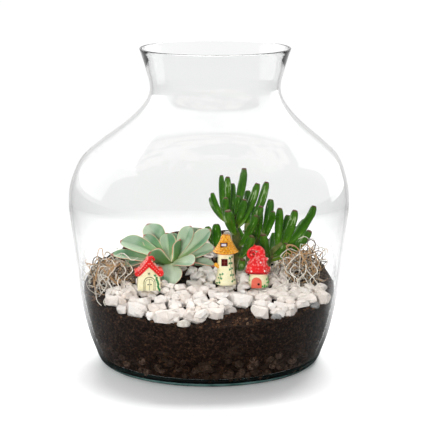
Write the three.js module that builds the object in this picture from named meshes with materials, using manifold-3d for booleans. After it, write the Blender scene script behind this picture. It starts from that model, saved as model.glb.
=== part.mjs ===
// A glass plant terrarium: an open, bottle-shaped glass vase with potting soil, white chippings, a rosette
// succulent, a finger-leaved succulent, two tufts of dry moss and three small painted fairy houses.
// Millimetres, +Z up, +Y to the back, origin at the centre of the vase's flat base.
import * as THREE from "three";
import { mergeVertices } from "three/addons/utils/BufferGeometryUtils.js";
import Module from "manifold-3d";

const wasm = await Module();
wasm.setup();

// ---------- driving dimensions ----------

const GAP = 0.3; // clearance between neighbouring pieces
const WALL = 3; // glass
const FLOOR = 4; // glass at the base
const HEEL = 8; // inner radius where the floor meets the wall
const HEIGHT = 300;
const SIDES = 36; // flats round the vase and the soil
const LEAN = { most: 6, from: 165, to: 260 }; // the hand-blown neck stands a little to one side
// Outside of the glass, height and radius: base, heel, belly, shoulder, neck and rim.
const OUTLINE = [
  [0, 100],
  [4, 105],
  [12, 108.5],
  [30, 115.3],
  [60, 122.3],
  [102, 127.8],
  [145, 132.4],
  [163, 132.6],
  [180, 129],
  [198, 120.7],
  [213, 104.2],
  [228, 85.2],
  [240, 72.7],
  [253, 63.4],
  [264, 61.4],
  [282, 65.6],
  [HEIGHT, 71.1],
];

// Top of the soil: its height at the middle, and how it rises to the back.
const SOIL = { level: 73.7, slope: 0.158, bank: 0.000373, relief: 1.6 };

// Plant stems: where each stands, its radius and how deep it goes.
const ROSETTE = { x: -37, y: 6, z: 92, stem: 5, flare: 1.3, root: 52 };
const JADE_STEM = { radius: 5.6, top: 3.6, twig: 3.4, twigTop: 3, root: 50 };
const HOLE_HEIGHT = 60; // a stem's hole, from its floor up past the chippings

// Fairy houses: where each stands and the height of its foot.
const COTTAGE = { x: -56, y: -45, z: 76, turn: 6 };
const TOWER = { x: 16, y: -20, z: 75.6, turn: 0 };
const TOADSTOOL = { x: 47, y: -20, z: 74.6, turn: 0 };

// ---------- small tools ----------

const rad = THREE.MathUtils.degToRad;
const lerp = THREE.MathUtils.lerp;
const smoothstep = THREE.MathUtils.smoothstep;
const UP = new THREE.Vector3(0, 0, 1);
const point = (x, y, z) => new THREE.Vector3(x, y, z);
const count = (n) => Array.from({ length: n }, (_, i) => i);

// A repeatable stream of numbers from 0 to 1.
function seeded(seed) {
  let state = seed;
  return () => {
    state = (state * 48271) % 2147483647;
    return state / 2147483647;
  };
}

// Smooth value through [key, value] pairs, with the slope at each pair taken from its neighbours.
function through(pairs, key) {
  const last = pairs.length - 1;
  let i = pairs.findIndex((p) => p[0] >= key);
  i = i < 0 ? last : Math.max(i, 1);
  const slope = (k) => {
    const a = pairs[Math.max(k - 1, 0)];
    const b = pairs[Math.min(k + 1, last)];
    return (b[1] - a[1]) / (b[0] - a[0]);
  };
  const [[x0, y0], [x1, y1]] = [pairs[i - 1], pairs[i]];
  const span = x1 - x0;
  const t = (key - x0) / span;
  const rest = 1 - t;
  return (
    rest * rest * (1 + 2 * t) * y0 +
    t * t * (3 - 2 * t) * y1 +
    t * rest * span * (rest * slope(i - 1) - t * slope(i))
  );
}

// ---------- closed bodies ----------

// A geometry as a solid, turned the right way out.
function solidOf(geometry) {
  const bare = geometry.clone();
  bare.deleteAttribute("normal");
  bare.deleteAttribute("uv");
  const merged = mergeVertices(bare, 1e-4);
  const corners = new Uint32Array(merged.index.array);
  const made = () =>
    new wasm.Manifold(
      new wasm.Mesh({
        numProp: 3,
        vertProperties: new Float32Array(merged.attributes.position.array),
        triVerts: corners,
      }),
    );
  const first = made();
  if (first.volume() > 0) return first;
  for (let i = 0; i < corners.length; i += 3) {
    [corners[i], corners[i + 1]] = [corners[i + 1], corners[i]];
  }
  return made();
}

// A closed body through rings of points, each end drawn in to a point of its own.
function loft(rings, start, end) {
  const n = rings[0].length;
  const at = (ring, i) => 1 + ring * n + (i % n);
  const last = rings.length - 1;
  const faces = [];
  for (const i of count(n)) {
    faces.push(0, at(0, i + 1), at(0, i));
    faces.push(at(last, i), at(last, i + 1), n * rings.length + 1);
    for (const ring of count(last)) {
      faces.push(at(ring, i), at(ring, i + 1), at(ring + 1, i + 1));
      faces.push(at(ring, i), at(ring + 1, i + 1), at(ring + 1, i));
    }
  }
  const geometry = new THREE.BufferGeometry().setFromPoints([start, ...rings.flat(), end]);
  return solidOf(geometry.setIndex(faces));
}

// A round rod along a smooth path. radiusAt gives its radius from 0 to 1 along it, and dish sinks its end.
function rod(path, radiusAt, steps, sides, dish = 0) {
  const curve = new THREE.CatmullRomCurve3(path);
  const frames = curve.computeFrenetFrames(steps, false);
  const rings = count(steps + 1).map((k) => {
    const centre = curve.getPointAt(k / steps);
    const radius = radiusAt(k / steps);
    return count(sides).map((s) => {
      const angle = (2 * Math.PI * s) / sides;
      return centre
        .clone()
        .addScaledVector(frames.normals[k], radius * Math.cos(angle))
        .addScaledVector(frames.binormals[k], radius * Math.sin(angle));
    });
  });
  const end = curve.getPointAt(1).addScaledVector(frames.tangents[steps], -dish);
  return loft(rings, curve.getPointAt(0), end);
}

// A body of revolution from a closed outline of heights and radii that starts and ends on the axis.
// shift moves it sideways along x at each height.
function turned(profile, sides, shift = () => 0) {
  const outline = profile.map(([z, r]) => new THREE.Vector2(r, z));
  const geometry = new THREE.LatheGeometry(outline, sides).rotateX(Math.PI / 2);
  const spots = geometry.attributes.position;
  for (const i of count(spots.count)) spots.setX(i, spots.getX(i) + shift(spots.getZ(i)));
  return solidOf(geometry);
}

// A solid body of revolution, flat at both ends, from its heights and radii.
function upright(profile, sides) {
  return turned([[profile[0][0], 0], ...profile, [profile.at(-1)[0], 0]], sides);
}

// A flat outline in x and z, thick along y and centred on it.
function panel(outline, thickness) {
  const geometry = new THREE.ExtrudeGeometry(outline, {
    depth: thickness,
    bevelEnabled: false,
    curveSegments: 6,
  });
  return solidOf(geometry.rotateX(Math.PI / 2).translate(0, thickness / 2, 0));
}

const box = (x, y, z) => solidOf(new THREE.BoxGeometry(x, y, z));
const joined = (solids) => solids.reduce((sum, solid) => sum.add(solid));
const biggest = (solid) => solid.decompose().reduce((a, b) => (b.volume() > a.volume() ? b : a));

// ---------- glass ----------

const leanAt = (z) => LEAN.most * smoothstep(z, LEAN.from, LEAN.to);
const outerRadius = (z) => through(OUTLINE, z);

// Inside of the glass: the wall's thickness off the outside, rounded into the floor.
function innerRadius(z) {
  const [below, beyond] = [z - 1, Math.min(z + 1, HEIGHT)];
  const slope = (outerRadius(beyond) - outerRadius(below)) / (beyond - below);
  const above = Math.min((z - FLOOR) / HEEL, 1);
  const heel = HEEL * (1 - Math.sqrt(1 - (1 - above) ** 2));
  return outerRadius(z) - WALL * Math.hypot(1, slope) - heel;
}

const OUTER_LEVELS = [0, 3, 9, 22, 45, 75, 110, 140, 160, 178, 194, 207, 219, 231, 244, 258, 272, 288, HEIGHT];
const INNER_LEVELS = [FLOOR, 5.5, 9, 16, 30, 55, 95, 130, 160, 182, 197, 210, 222, 234, 248, 264, 284, HEIGHT];
const OUTSIDE = OUTER_LEVELS.map((z) => [z, outerRadius(z)]);
const INSIDE = INNER_LEVELS.map((z) => [z, innerRadius(z)]);

const vase = () => turned([[0, 0], ...OUTSIDE, ...INSIDE.toReversed(), [FLOOR, 0]], SIDES, leanAt);

// Radius of the glass inside at any height, straight between the points of its outline.
function wallAt(z) {
  const i = INSIDE.findIndex(([level]) => level >= z);
  const [[z0, r0], [z1, r1]] = [INSIDE[i - 1], INSIDE[i]];
  return lerp(r0, r1, (z - z0) / (z1 - z0));
}

// ---------- soil ----------

const ripple = (x, y) =>
  Math.sin(x / 9.1 + 1.3) * Math.cos(y / 7.7) + 0.6 * Math.sin(x / 4.3 - y / 5.9) * Math.sin(y / 3.9 + 2.1);

// Height of the plain soil surface, before its crumbs.
const soilLevel = (y) => SOIL.level + SOIL.slope * y + SOIL.bank * y * y;
const soilHeight = (x, y) => soilLevel(y) + SOIL.relief * ripple(x, y);

// The soil fills the glass to a gap, with a crumbly top. lift raises the top only.
function soilBody(lift = 0) {
  const edge = (z) => wallAt(z) - 1.5 * GAP - 0.1 * lift;
  const angles = count(SIDES).map((i) => (2 * Math.PI * i) / SIDES);
  const brim = angles.map((a) => {
    let z = SOIL.level;
    for (let i = 0; i < 6; i += 1) z = soilLevel(edge(z) * Math.cos(a)) + lift;
    return z;
  });
  const bottom = FLOOR + GAP;
  const sides = [0, 0.035, 0.12, 0.5, 1].map((part) =>
    angles.map((a, i) => {
      const z = lerp(bottom, brim[i], part);
      return point(edge(z) * Math.sin(a), edge(z) * Math.cos(a), z);
    }),
  );
  const top = [0.93, 0.74, 0.5, 0.25].map((part) =>
    angles.map((a, i) => {
      const r = edge(brim[i]) * part;
      const [x, y] = [r * Math.sin(a), r * Math.cos(a)];
      return point(x, y, soilHeight(x, y) + lift);
    }),
  );
  return loft([...sides, ...top], point(0, 0, bottom), point(0, 0, soilHeight(0, 0) + lift));
}

// ---------- rosette succulent ----------

// Each leaf: its tip from the heart of the rosette, its width, its upward bow and its roll.
const ROSETTE_LEAVES = [
  { tip: [-19, 28, 34], width: 22, bow: -2, roll: 0 },
  { tip: [-5, 16, 26], width: 16, bow: -2, roll: 0 },
  { tip: [-26, 8, 26], width: 16, bow: -3, roll: -30 },
  { tip: [-49, 4, 21], width: 21, bow: 4, roll: -38 },
  { tip: [-55, -14, 11], width: 18, bow: 2, roll: -8 },
  { tip: [-19, -20, 16], width: 21, bow: -3, roll: -20 },
  { tip: [9, -5, 25], width: 20, bow: -3, roll: 10 },
  { tip: [20, 8, 35], width: 17, bow: -3, roll: 40 },
  { tip: [30, 28, 28], width: 24, bow: -2, roll: 10 },
  { tip: [39, 2, 32], width: 18, bow: -3, roll: 30 },
  { tip: [43, -8, 17], width: 21, bow: -1, roll: 14 },
  { tip: [23, -30, 6], width: 19, bow: 1, roll: 12 },
  { tip: [42, -22, 2], width: 19, bow: 2, roll: 4 },
  { tip: [-3, -26, -14], width: 19, bow: 7, roll: 0 },
  { tip: [-44, -18, 0], width: 19, bow: 4, roll: -10 },
  { tip: [-42, 38, 9], width: 21, bow: 1, roll: 0 },
  { tip: [-21, 50, 11], width: 21, bow: 0, roll: 0 },
  { tip: [14, 47, 15], width: 21, bow: 0, roll: 0 },
  { tip: [42, 26, 12], width: 19, bow: 1, roll: 0 },
  { tip: [2, 27, 24], width: 16, bow: -2, roll: 0 },
];
const SPOON = [
  [0, 0.36],
  [0.25, 0.5],
  [0.5, 0.84],
  [0.7, 1],
  [0.85, 0.86],
  [0.95, 0.5],
];
const LEAF = { thickness: 4.2, cup: 0.22, stations: [0.04, 0.34, 0.62, 0.84, 0.95] };

// One spoon-shaped leaf from the heart of the rosette. grow swells it on every side.
function spoonLeaf({ tip, width, bow, roll }, grow = 0) {
  const reach = new THREE.Vector3(...tip);
  const length = reach.length();
  const side = new THREE.Vector3().crossVectors(UP, reach).normalize();
  const across = side.clone().applyAxisAngle(reach.clone().normalize(), rad(roll));
  const over = new THREE.Vector3().crossVectors(reach, across).normalize();
  const place = (t) =>
    reach
      .clone()
      .multiplyScalar(t)
      .addScaledVector(over, 4 * bow * t * (1 - t));
  const rings = LEAF.stations.map((t) => {
    const half = (width / 2) * through(SPOON, t) + grow;
    const thick = LEAF.thickness * (1 - 0.55 * t) + 2 * grow;
    // u runs across the leaf, z through it: edge, hollowed top, edge, keeled underside.
    const section = [
      [-1, 0],
      [-0.55, 0.32],
      [0, 0.16],
      [0.55, 0.32],
      [1, 0],
      [0.5, -0.55],
      [0, -0.84],
      [-0.5, -0.55],
    ];
    return section.map(([u, z]) =>
      place(t)
        .addScaledVector(across, u * half)
        .addScaledVector(over, z * thick + LEAF.cup * half * u * u),
    );
  });
  const end = place(1).addScaledVector(reach, grow / length);
  return loft(rings, point(0, 0, 0), end);
}

const rosetteLeaves = (grow) => joined(ROSETTE_LEAVES.map((leaf) => spoonLeaf(leaf, grow)));

function rosette() {
  const { stem, flare, root, z } = ROSETTE;
  const stalk = upright([[root - z, stem], [-16, stem], [3, stem * flare]], 10);
  return biggest(rosetteLeaves(0).add(stalk));
}

// ---------- finger-leaved succulent ----------

// Three leafy stems. Each leaf runs from its foot on the stem to its dished tip: [foot], [tip], width.
const JADE = {
  left: {
    stem: [
      [29, 13, JADE_STEM.root],
      [29, 13, 84],
      [28, 13, 104],
      [25, 15, 120],
      [18, 20, 134],
    ],
    twigs: [
      [
        [28, 13, 88],
        [19, 14, 96],
        [10, 14, 102],
      ],
      [
        [25, 15, 119],
        [25, 17, 129],
        [26, 19, 138],
      ],
    ],
    leaves: [
      [[15, 21, 131], [3, 26, 157], 5.5],
      [[14, 22, 134], [12, 36, 174], 6],
      [[18, 22, 134], [18, 27, 174], 7],
      [[16, 18, 131], [16, 12, 155], 7],
      [[22, 23, 134], [23, 42, 164], 7],
      [[25, 20, 136], [34, 24, 182], 8],
      [[24, 17, 135], [28, 10, 157], 6],
      [[26, 16, 129], [34, 8, 154], 7.5],
      [[25, 12, 119], [18, -6, 146], 10],
      [[27, 17, 124], [47, 26, 167], 8],
      [[28, 12, 107], [45, 0, 140], 7.5],
      [[29, 11, 97], [41, -5, 121], 9],
      [[9, 15, 99], [7, 21, 128], 9],
      [[29, 9, 85], [32, -7, 99], 8],
      [[18, 22, 130], [2, 42, 150], 8],
      [[24, 20, 128], [28, 48, 148], 8],
      [[12, 16, 103], [-2, 34, 122], 8],
    ],
  },
  middle: {
    stem: [
      [41, 27, JADE_STEM.root],
      [41, 27, 84],
      [40, 25, 102],
      [38, 22, 116],
      [38, 22, 128],
    ],
    twigs: [
      [
        [40, 25, 100],
        [47, 23, 108],
        [53, 22, 117],
      ],
    ],
    leaves: [
      [[39, 22, 124], [56, 34, 167], 8],
      [[39, 19, 121], [50, 10, 147], 7.5],
      [[45, 22, 109], [49, 17, 142], 8],
      [[39, 21, 104], [44, 12, 128], 8],
      [[53, 23, 114], [60, 30, 150], 8.5],
      [[53, 20, 113], [62, 20, 140], 7],
      [[37, 25, 122], [38, 46, 156], 8],
      [[40, 28, 112], [44, 56, 138], 8.5],
      [[38, 28, 106], [22, 52, 128], 8],
      [[48, 25, 108], [60, 52, 132], 8],
    ],
  },
  right: {
    stem: [
      [54, 23, JADE_STEM.root],
      [54, 23, 84],
      [57, 18, 93],
      [63, 16, 101],
      [71, 16, 110],
    ],
    twigs: [],
    leaves: [
      [[66, 18, 103], [68, 10, 145], 8],
      [[70, 20, 108], [77, 34, 134], 8],
      [[71, 15, 106], [83, 16, 142], 8.5],
      [[70, 16, 103], [102, 22, 145], 8.5],
      [[59, 16, 93], [97, 6, 124], 8.5],
      [[57, 17, 92], [52, 2, 121], 9],
      [[62, 14, 98], [74, 4, 112], 6],
      [[66, 20, 99], [84, 44, 120], 8.5],
      [[58, 22, 92], [64, 50, 112], 8],
      [[66, 19, 100], [94, 40, 128], 8],
    ],
  },
};
const FINGER = [
  [0, 0.5],
  [0.25, 0.82],
  [0.55, 1],
  [0.82, 0.93],
  [1, 0.6],
];

// One finger leaf, a little bowed outward, with a dished tip.
function fingerLeaf([foot, tip, width]) {
  const [a, b] = [point(...foot), point(...tip)];
  const out = point(b.x - a.x, b.y - a.y, 0).multiplyScalar(0.12);
  const middle = a.clone().lerp(b, 0.5).add(out).sub(point(0, 0, out.length() * 0.5));
  return rod([a, middle, b], (t) => (width / 2) * through(FINGER, t), 4, 6, width * 0.1);
}

function jadeStem({ stem, twigs, leaves }) {
  const { radius, top, twig, twigTop } = JADE_STEM;
  const wood = (path, foot, end, steps, sides) =>
    rod(
      path.map((p) => point(...p)),
      (t) => lerp(foot, end, t),
      steps,
      sides,
    );
  const branches = twigs.map((path) => wood(path, twig, twigTop, 3, 7));
  return biggest(joined([wood(stem, radius, top, 8, 8), ...branches, ...leaves.map(fingerLeaf)]));
}

// ---------- holes for the stems ----------

// The plain hole that a stem stands in, up through soil and chippings.
function stemHole(x, y, radius, root) {
  const wide = (radius + GAP) / Math.cos(Math.PI / 12);
  return upright([[root - GAP, wide], [root + HOLE_HEIGHT, wide]], 12).translate(x, y, 0);
}

const stemHoles = () => [
  stemHole(ROSETTE.x, ROSETTE.y, ROSETTE.stem * ROSETTE.flare, ROSETTE.root),
  ...Object.values(JADE).map(({ stem: [[x, y]] }) => stemHole(x, y, JADE_STEM.radius, JADE_STEM.root)),
];

// ---------- fairy houses ----------

// Each house is drawn round the middle of its own foot.
const TOWER_SIZE = { foot: 10.2, waist: 7.4, wall: 28.5, eaves: 12.2, top: 3.4, height: 45.5 };

function towerWalls() {
  const { foot, waist, wall } = TOWER_SIZE;
  const body = upright([[0, foot], [2.5, foot - 0.2], [9, foot - 1.6], [18, waist + 0.6], [wall, waist]], 14);
  const frame = box(6.6, 2, 7.4).translate(-1.3, -waist - 0.1, 22);
  const arm = [point(-7, -3, 17), point(-9, -4.4, 18.6), point(-9.6, -4.8, 20.6)];
  const lamp = rod(arm, (t) => 2.3 - 1.2 * t, 3, 6);
  return joined([body, frame, lamp]);
}

// A round roof laid in rows of shingles, each row lapping the one below.
function towerRoof() {
  const { wall, eaves, top, height } = TOWER_SIZE;
  const rows = 5;
  const low = wall + GAP;
  const flare = (t) => lerp(eaves, top, 1 - (1 - t) ** 1.5);
  const courses = count(rows).flatMap((row) => [
    [lerp(low + 1.2, height, row / rows), flare(row / rows)],
    [lerp(low + 1.2, height, (row + 0.86) / rows), flare((row + 1) / rows) + 0.7],
  ]);
  const cone = upright([[low, eaves - 1.2], ...courses, [height, top - 0.6]], 14);
  const dormer = box(7, 6, 5.4).translate(-1.5, -6.6, low + 6.6);
  return cone.add(dormer);
}

const TOADSTOOL_SIZE = { foot: 9.6, neck: 8.2, wall: 13.5, eaves: 12, slope: 45 };

function toadstoolWalls() {
  const { foot, neck, wall } = TOADSTOOL_SIZE;
  const body = upright([[0, foot], [4, foot], [wall, neck]], 14);
  return body.add(panel(archShape(9.2, 10), 3).translate(-1.5, -foot + 0.8, 0.2));
}

// A pointed cap whose tip curls over to the left, with raised spots. Its girth is given along its spine.
const CAP_GIRTH = [
  [0, 0.95],
  [0.04, 1],
  [0.13, 0.88],
  [0.24, 0.7],
  [0.35, 0.5],
  [0.45, 0.35],
  [0.54, 0.25],
  [0.64, 0.2],
  [0.75, 0.175],
  [0.85, 0.155],
  [1, 0.1],
];
// Raised spots: the way each faces, in degrees from the right, and its height on the cap.
const CAP_SPOTS = [
  [-116, 2.6],
  [-50, 3.4],
  [-70, 9.6],
  [164, 3.4],
  [15, 3],
  [84, 4],
  [113, 9],
];

function toadstoolCap() {
  const { wall, eaves, slope } = TOADSTOOL_SIZE;
  const low = wall + GAP;
  const spine = [
    point(0, 0, low),
    point(-0.4, 0, low + 6),
    point(-0.8, 0, low + 11),
    point(0, 0, low + 16),
    point(0.6, 0, low + 20.4),
    point(-1.6, -0.3, low + 23.6),
    point(-6, -0.6, low + 24),
    point(-9.4, -0.9, low + 21),
    point(-8.8, -1.2, low + 17),
    point(-5.8, -1.5, low + 16),
    point(-4.6, -1.8, low + 18.8),
  ];
  const cap = rod(spine, (t) => eaves * through(CAP_GIRTH, t), 22, 12);
  const below = box(4 * eaves, 4 * eaves, 20).translate(0, 0, low - 10);
  const spots = CAP_SPOTS.map(([turn, height]) => {
    const out = eaves * through(CAP_GIRTH, height / slope) - 0.3;
    const spot = solidOf(new THREE.IcosahedronGeometry(1.5, 0));
    return spot.translate(out * Math.cos(rad(turn)), out * Math.sin(rad(turn)), low + height);
  });
  return joined([cap, ...spots]).subtract(below);
}

const COTTAGE_SIZE = { width: 20, depth: 15, peak: 22.8, pitch: 0.85, ridge: 31, eaves: 12, roll: 2.6 };

// A round-topped doorway outline, standing on z = 0.
function archShape(width, height) {
  const shape = new THREE.Shape();
  const half = width / 2;
  shape.moveTo(-half, 0).lineTo(half, 0).lineTo(half, height - half);
  shape.absarc(0, height - half, half, 0, Math.PI, false);
  return shape;
}

function cottageWalls() {
  const { width, depth, peak, pitch } = COTTAGE_SIZE;
  const half = width / 2;
  const shoulder = half - 0.6;
  const top = peak - 1.5 * GAP;
  const gable = new THREE.Shape();
  gable.moveTo(-half, 0).lineTo(half, 0).lineTo(shoulder, top - pitch * shoulder);
  gable.lineTo(0, top).lineTo(-shoulder, top - pitch * shoulder).closePath();
  const door = panel(archShape(10.4, 13.2), 2).translate(0, -depth / 2 - 0.1, 0);
  const porthole = upright([[0, 2], [1.4, 2]], 8).rotate([90, 0, 0]).translate(0, -depth / 2 + 0.4, 16.2);
  return joined([panel(gable, depth), door, porthole]);
}

// Two steep slopes that end in rolled eaves, with a small hook at the ridge.
function cottageRoof() {
  const { depth, peak, pitch, ridge, eaves, roll } = COTTAGE_SIZE;
  const lap = 1.6;
  const long = depth + 2 * lap;
  const inner = eaves - 0.6;
  const outer = eaves + 1.4;
  const drip = peak - pitch * inner;
  const slopes = new THREE.Shape();
  slopes.moveTo(0, peak).lineTo(inner, drip).lineTo(outer, drip + roll);
  slopes.lineTo(0, ridge).lineTo(-outer, drip + roll).lineTo(-inner, drip).closePath();
  const eavesRoll = (side) =>
    upright([[0, roll], [long, roll]], 10)
      .rotate([90, 0, 0])
      .translate(side * (eaves + 0.9), long / 2, drip + roll);
  const hookPath = [point(0.4, 0, ridge - 3), point(1.6, 0, ridge + 0.6), point(5.4, 0, ridge - 2.2)];
  const hook = rod(hookPath, (t) => 1.9 - 1.1 * t, 5, 6).translate(0, -depth / 2 + 1, 0);
  return joined([panel(slopes, long), eavesRoll(-1), eavesRoll(1), hook]);
}

// The room each house needs among the chippings, and the level seat of chippings that it stands on.
const ROOM_HEIGHT = 20;
const SEAT_DEPTH = 14;
const HOUSES = [
  { at: TOWER, seat: 9, room: TOWER_SIZE.foot },
  { at: TOADSTOOL, seat: 9, room: TOADSTOOL_SIZE.foot + 2.4 },
  { at: COTTAGE, seat: 8, room: Math.hypot(COTTAGE_SIZE.width, COTTAGE_SIZE.depth) / 2 + 0.6 },
];
const houseRoom = ({ at, room }) =>
  upright([[at.z - GAP, room + 2 * GAP], [at.z + ROOM_HEIGHT, room + 2 * GAP]], 16).translate(at.x, at.y, 0);
const houseSeat = ({ at, seat }) =>
  upright([[at.z - SEAT_DEPTH, seat], [at.z - GAP, seat]], 10).translate(at.x, at.y, 0);

// ---------- dry moss ----------

// Each tuft: its middle on the soil, its half width, half depth and height, and its number of strands.
const TUFTS = {
  left: { x: -92, y: -8, half: 25, depth: 34, height: 33, strands: 11, seed: 47 },
  right: { x: 88, y: 6, half: 24, depth: 33, height: 37, strands: 11, seed: 97 },
};
const STRAND = 0.95; // radius of one wiry strand

// A tangle: wiry strands that curl in and out of a smaller core.
function moss({ x, y, half, depth, height, strands, seed }) {
  const random = seeded(seed);
  const on = (turn, rise, reach) =>
    point(
      reach * half * Math.cos(rise) * Math.cos(turn),
      reach * depth * Math.cos(rise) * Math.sin(turn),
      reach * height * Math.sin(rise),
    );
  const lump = new THREE.IcosahedronGeometry(1, 1);
  const spots = lump.attributes.position;
  for (const i of count(spots.count)) {
    const [a, b, c] = [spots.getX(i), spots.getY(i), spots.getZ(i)];
    const swell = 0.72 + 0.07 * Math.sin(5 * a + seed) * Math.cos(4 * b - 3 * c);
    spots.setXYZ(i, a * half * swell, b * depth * swell, c * height * swell);
  }
  const curls = count(strands).map((k) => {
    let turn = (2 * Math.PI * (k + random())) / strands;
    let rise = 0.15 + 1.2 * random();
    const drift = (random() < 0.5 ? -1 : 1) * (0.22 + 0.2 * random());
    const path = count(7).map((step) => {
      turn += drift + 0.5 * (random() - 0.5);
      rise = Math.min(Math.max(rise + 0.7 * (random() - 0.5), 0.1), 1.4);
      return on(turn, rise, step === 0 || step === 6 ? 0.6 : 0.88 + 0.14 * random());
    });
    return rod(path, (t) => STRAND * (1 - 0.25 * t), 9, 3);
  });
  const tuft = joined([solidOf(lump), ...curls]);
  return tuft.translate(x, y, soilLevel(y) - 1);
}

// ---------- chippings and pebbles ----------

// Edge of the chippings seen from above, with the bay of bare soil at the front.
const BED = [
  [-88, -70],
  [-96, -48],
  [-80, -26],
  [-62, -22],
  [-56, 20],
  [-76, 50],
  [-62, 84],
  [-20, 96],
  [40, 96],
  [84, 68],
  [86, 50],
  [64, 20],
  [62, -26],
  [104, -30],
  [106, -48],
  [92, -68],
  [64, -92],
  [46, -90],
  [38, -70],
  [24, -68],
  [16, -84],
  [-2, -106],
  [-24, -110],
  [-60, -98],
];
// Round patches of bare soil inside the bed, by the foot of each plant.
const BARE = [
  { x: -31, y: -2, radius: 17 },
  { x: 44, y: 12, radius: 10 },
];
// Stones: their spacing, how far their corners are shaken, their heights over the soil, how far out they go
// and how far they keep off the moss.
const CHIPS = {
  pitch: 15.2,
  shake: 2.4,
  valley: 2.6,
  crown: [5.5, 10],
  bottom: 50,
  reach: 106,
  margin: 9,
  seed: 2024,
};
const PEBBLES = {
  grey_pebble_front: { x: 61, y: -94, size: [5, 3.8, 3.2], turn: 20, color: 0x6f7072 },
  grey_pebble_right: { x: 97, y: -62, size: [4.6, 4, 3.4], turn: -30, color: 0x8a8886 },
  cream_pebble: { x: -22, y: -112.5, size: [6.2, 3.6, 3.8], turn: 12, color: 0xd9cfc0 },
};

function pebble({ x, y, size, turn }, grow = 0) {
  const [a, b, c] = size.map((half) => half + grow);
  const stone = solidOf(new THREE.IcosahedronGeometry(1, 1).scale(a, b, c));
  return stone.rotate([0, 0, turn]).translate(x, y, soilLevel(y) + 2.4);
}

// Whether a point seen from above lies inside a closed outline.
function inside(outline, x, y) {
  let crossings = 0;
  outline.forEach((a, i) => {
    const b = outline[(i + 1) % outline.length];
    if (a.y > y !== b.y > y && x < a.x + ((b.x - a.x) * (y - a.y)) / (b.y - a.y)) crossings += 1;
  });
  return crossings % 2 === 1;
}

// The honeycomb cells that hold a stone: inside the edge of the bed, and clear of the bare soil.
function stoneCells() {
  const edge = new THREE.CatmullRomCurve3(BED.map(([x, y]) => point(x, y, 0)), true).getPoints(72).slice(1);
  const rows = count(25).map((k) => k - 12);
  const cells = rows.flatMap((row) =>
    rows.map((column) => [(column + 0.5 * (row & 1)) * CHIPS.pitch, row * CHIPS.pitch * Math.sqrt(0.75)]),
  );
  return cells.filter(([x, y]) => {
    const bare = BARE.some((patch) => Math.hypot(patch.x - x, patch.y - y) < patch.radius);
    const mossy = Object.values(TUFTS).some((tuft) => {
      const [wide, deep] = [tuft.half + CHIPS.margin, tuft.depth + CHIPS.margin];
      return Math.hypot((x - tuft.x) / wide, (y - tuft.y) / deep) < 1;
    });
    return !bare && !mossy && Math.hypot(x, y) < CHIPS.reach && inside(edge, x, y);
  });
}

// Chippings that lie side by side: each cell of a shaken honeycomb is one stone with a tilted flat top,
// and the stones hold together below the valleys between them.
function stones() {
  const random = seeded(CHIPS.seed);
  const shake = (most) => most * (2 * random() - 1);
  const spots = [];
  const faces = [];
  const spot = (x, y, z) => spots.push(point(x, y, z)) - 1;
  const corners = new Map();
  const corner = (x, y) => {
    const key = [Math.round((2 * x) / CHIPS.pitch), Math.round((y * Math.sqrt(12)) / CHIPS.pitch)].join();
    if (!corners.has(key)) {
      const [u, v] = [x + shake(CHIPS.shake), y + shake(CHIPS.shake)];
      const high = spot(u, v, soilLevel(v) + CHIPS.valley);
      corners.set(key, { u, v, high, low: spot(u, v, CHIPS.bottom) });
    }
    return corners.get(key);
  };
  const edges = new Map();
  const cell = CHIPS.pitch / Math.sqrt(3);
  for (const [x, y] of stoneCells()) {
    const ring = count(6).map((k) => {
      const angle = rad(30 + 60 * k);
      return corner(x + cell * Math.cos(angle), y + cell * Math.sin(angle));
    });
    const [tiltX, tiltY, inset] = [shake(0.34), shake(0.34), 0.6 + 0.16 * random()];
    const crown = soilLevel(y) + lerp(...CHIPS.crown, random());
    const top = ring.map(({ u, v }) => {
      const [dx, dy] = [(u - x) * inset, (v - y) * inset];
      return spot(x + dx, y + dy, crown + tiltX * dx + tiltY * dy);
    });
    for (const k of count(6)) {
      const [here, next] = [ring[k], ring[(k + 1) % 6]];
      faces.push(here.high, next.high, top[(k + 1) % 6], here.high, top[(k + 1) % 6], top[k]);
      edges.set(here.low + " " + next.low, [here, next]);
    }
    for (const k of [1, 2, 3, 4]) {
      faces.push(top[0], top[k], top[k + 1], ring[0].low, ring[k + 1].low, ring[k].low);
    }
  }
  // A wall goes down wherever a stone has no neighbour.
  for (const [here, next] of edges.values()) {
    if (edges.has(next.low + " " + here.low)) continue;
    faces.push(here.high, here.low, next.low, here.high, next.low, next.high);
  }
  return solidOf(new THREE.BufferGeometry().setFromPoints(spots).setIndex(faces));
}

function gravel(cutters) {
  const whole = joined([stones(), ...HOUSES.map(houseSeat)]);
  return biggest(cutters.reduce((rest, cutter) => rest.subtract(cutter), whole));
}

// ---------- the model ----------

const model = new THREE.Group();

// Adds one named piece to a group.
function piece(group, name, solid, look) {
  const { vertProperties, triVerts } = solid.getMesh();
  const geometry = new THREE.BufferGeometry();
  geometry.setAttribute("position", new THREE.BufferAttribute(vertProperties, 3));
  geometry.setIndex(new THREE.BufferAttribute(triVerts, 1));
  geometry.computeVertexNormals();
  const mesh = new THREE.Mesh(geometry, new THREE.MeshStandardMaterial({ flatShading: true, ...look }));
  mesh.name = name;
  group.add(mesh);
  return mesh;
}

// A house stands in a group of its own, at its place on the chippings.
function house({ x, y, z, turn }, pieces) {
  const group = new THREE.Group();
  group.position.set(x, y, z);
  group.rotation.z = rad(turn);
  pieces.forEach(([name, solid, color]) => piece(group, name, solid, { color, roughness: 0.3 }));
  model.add(group);
}

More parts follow.
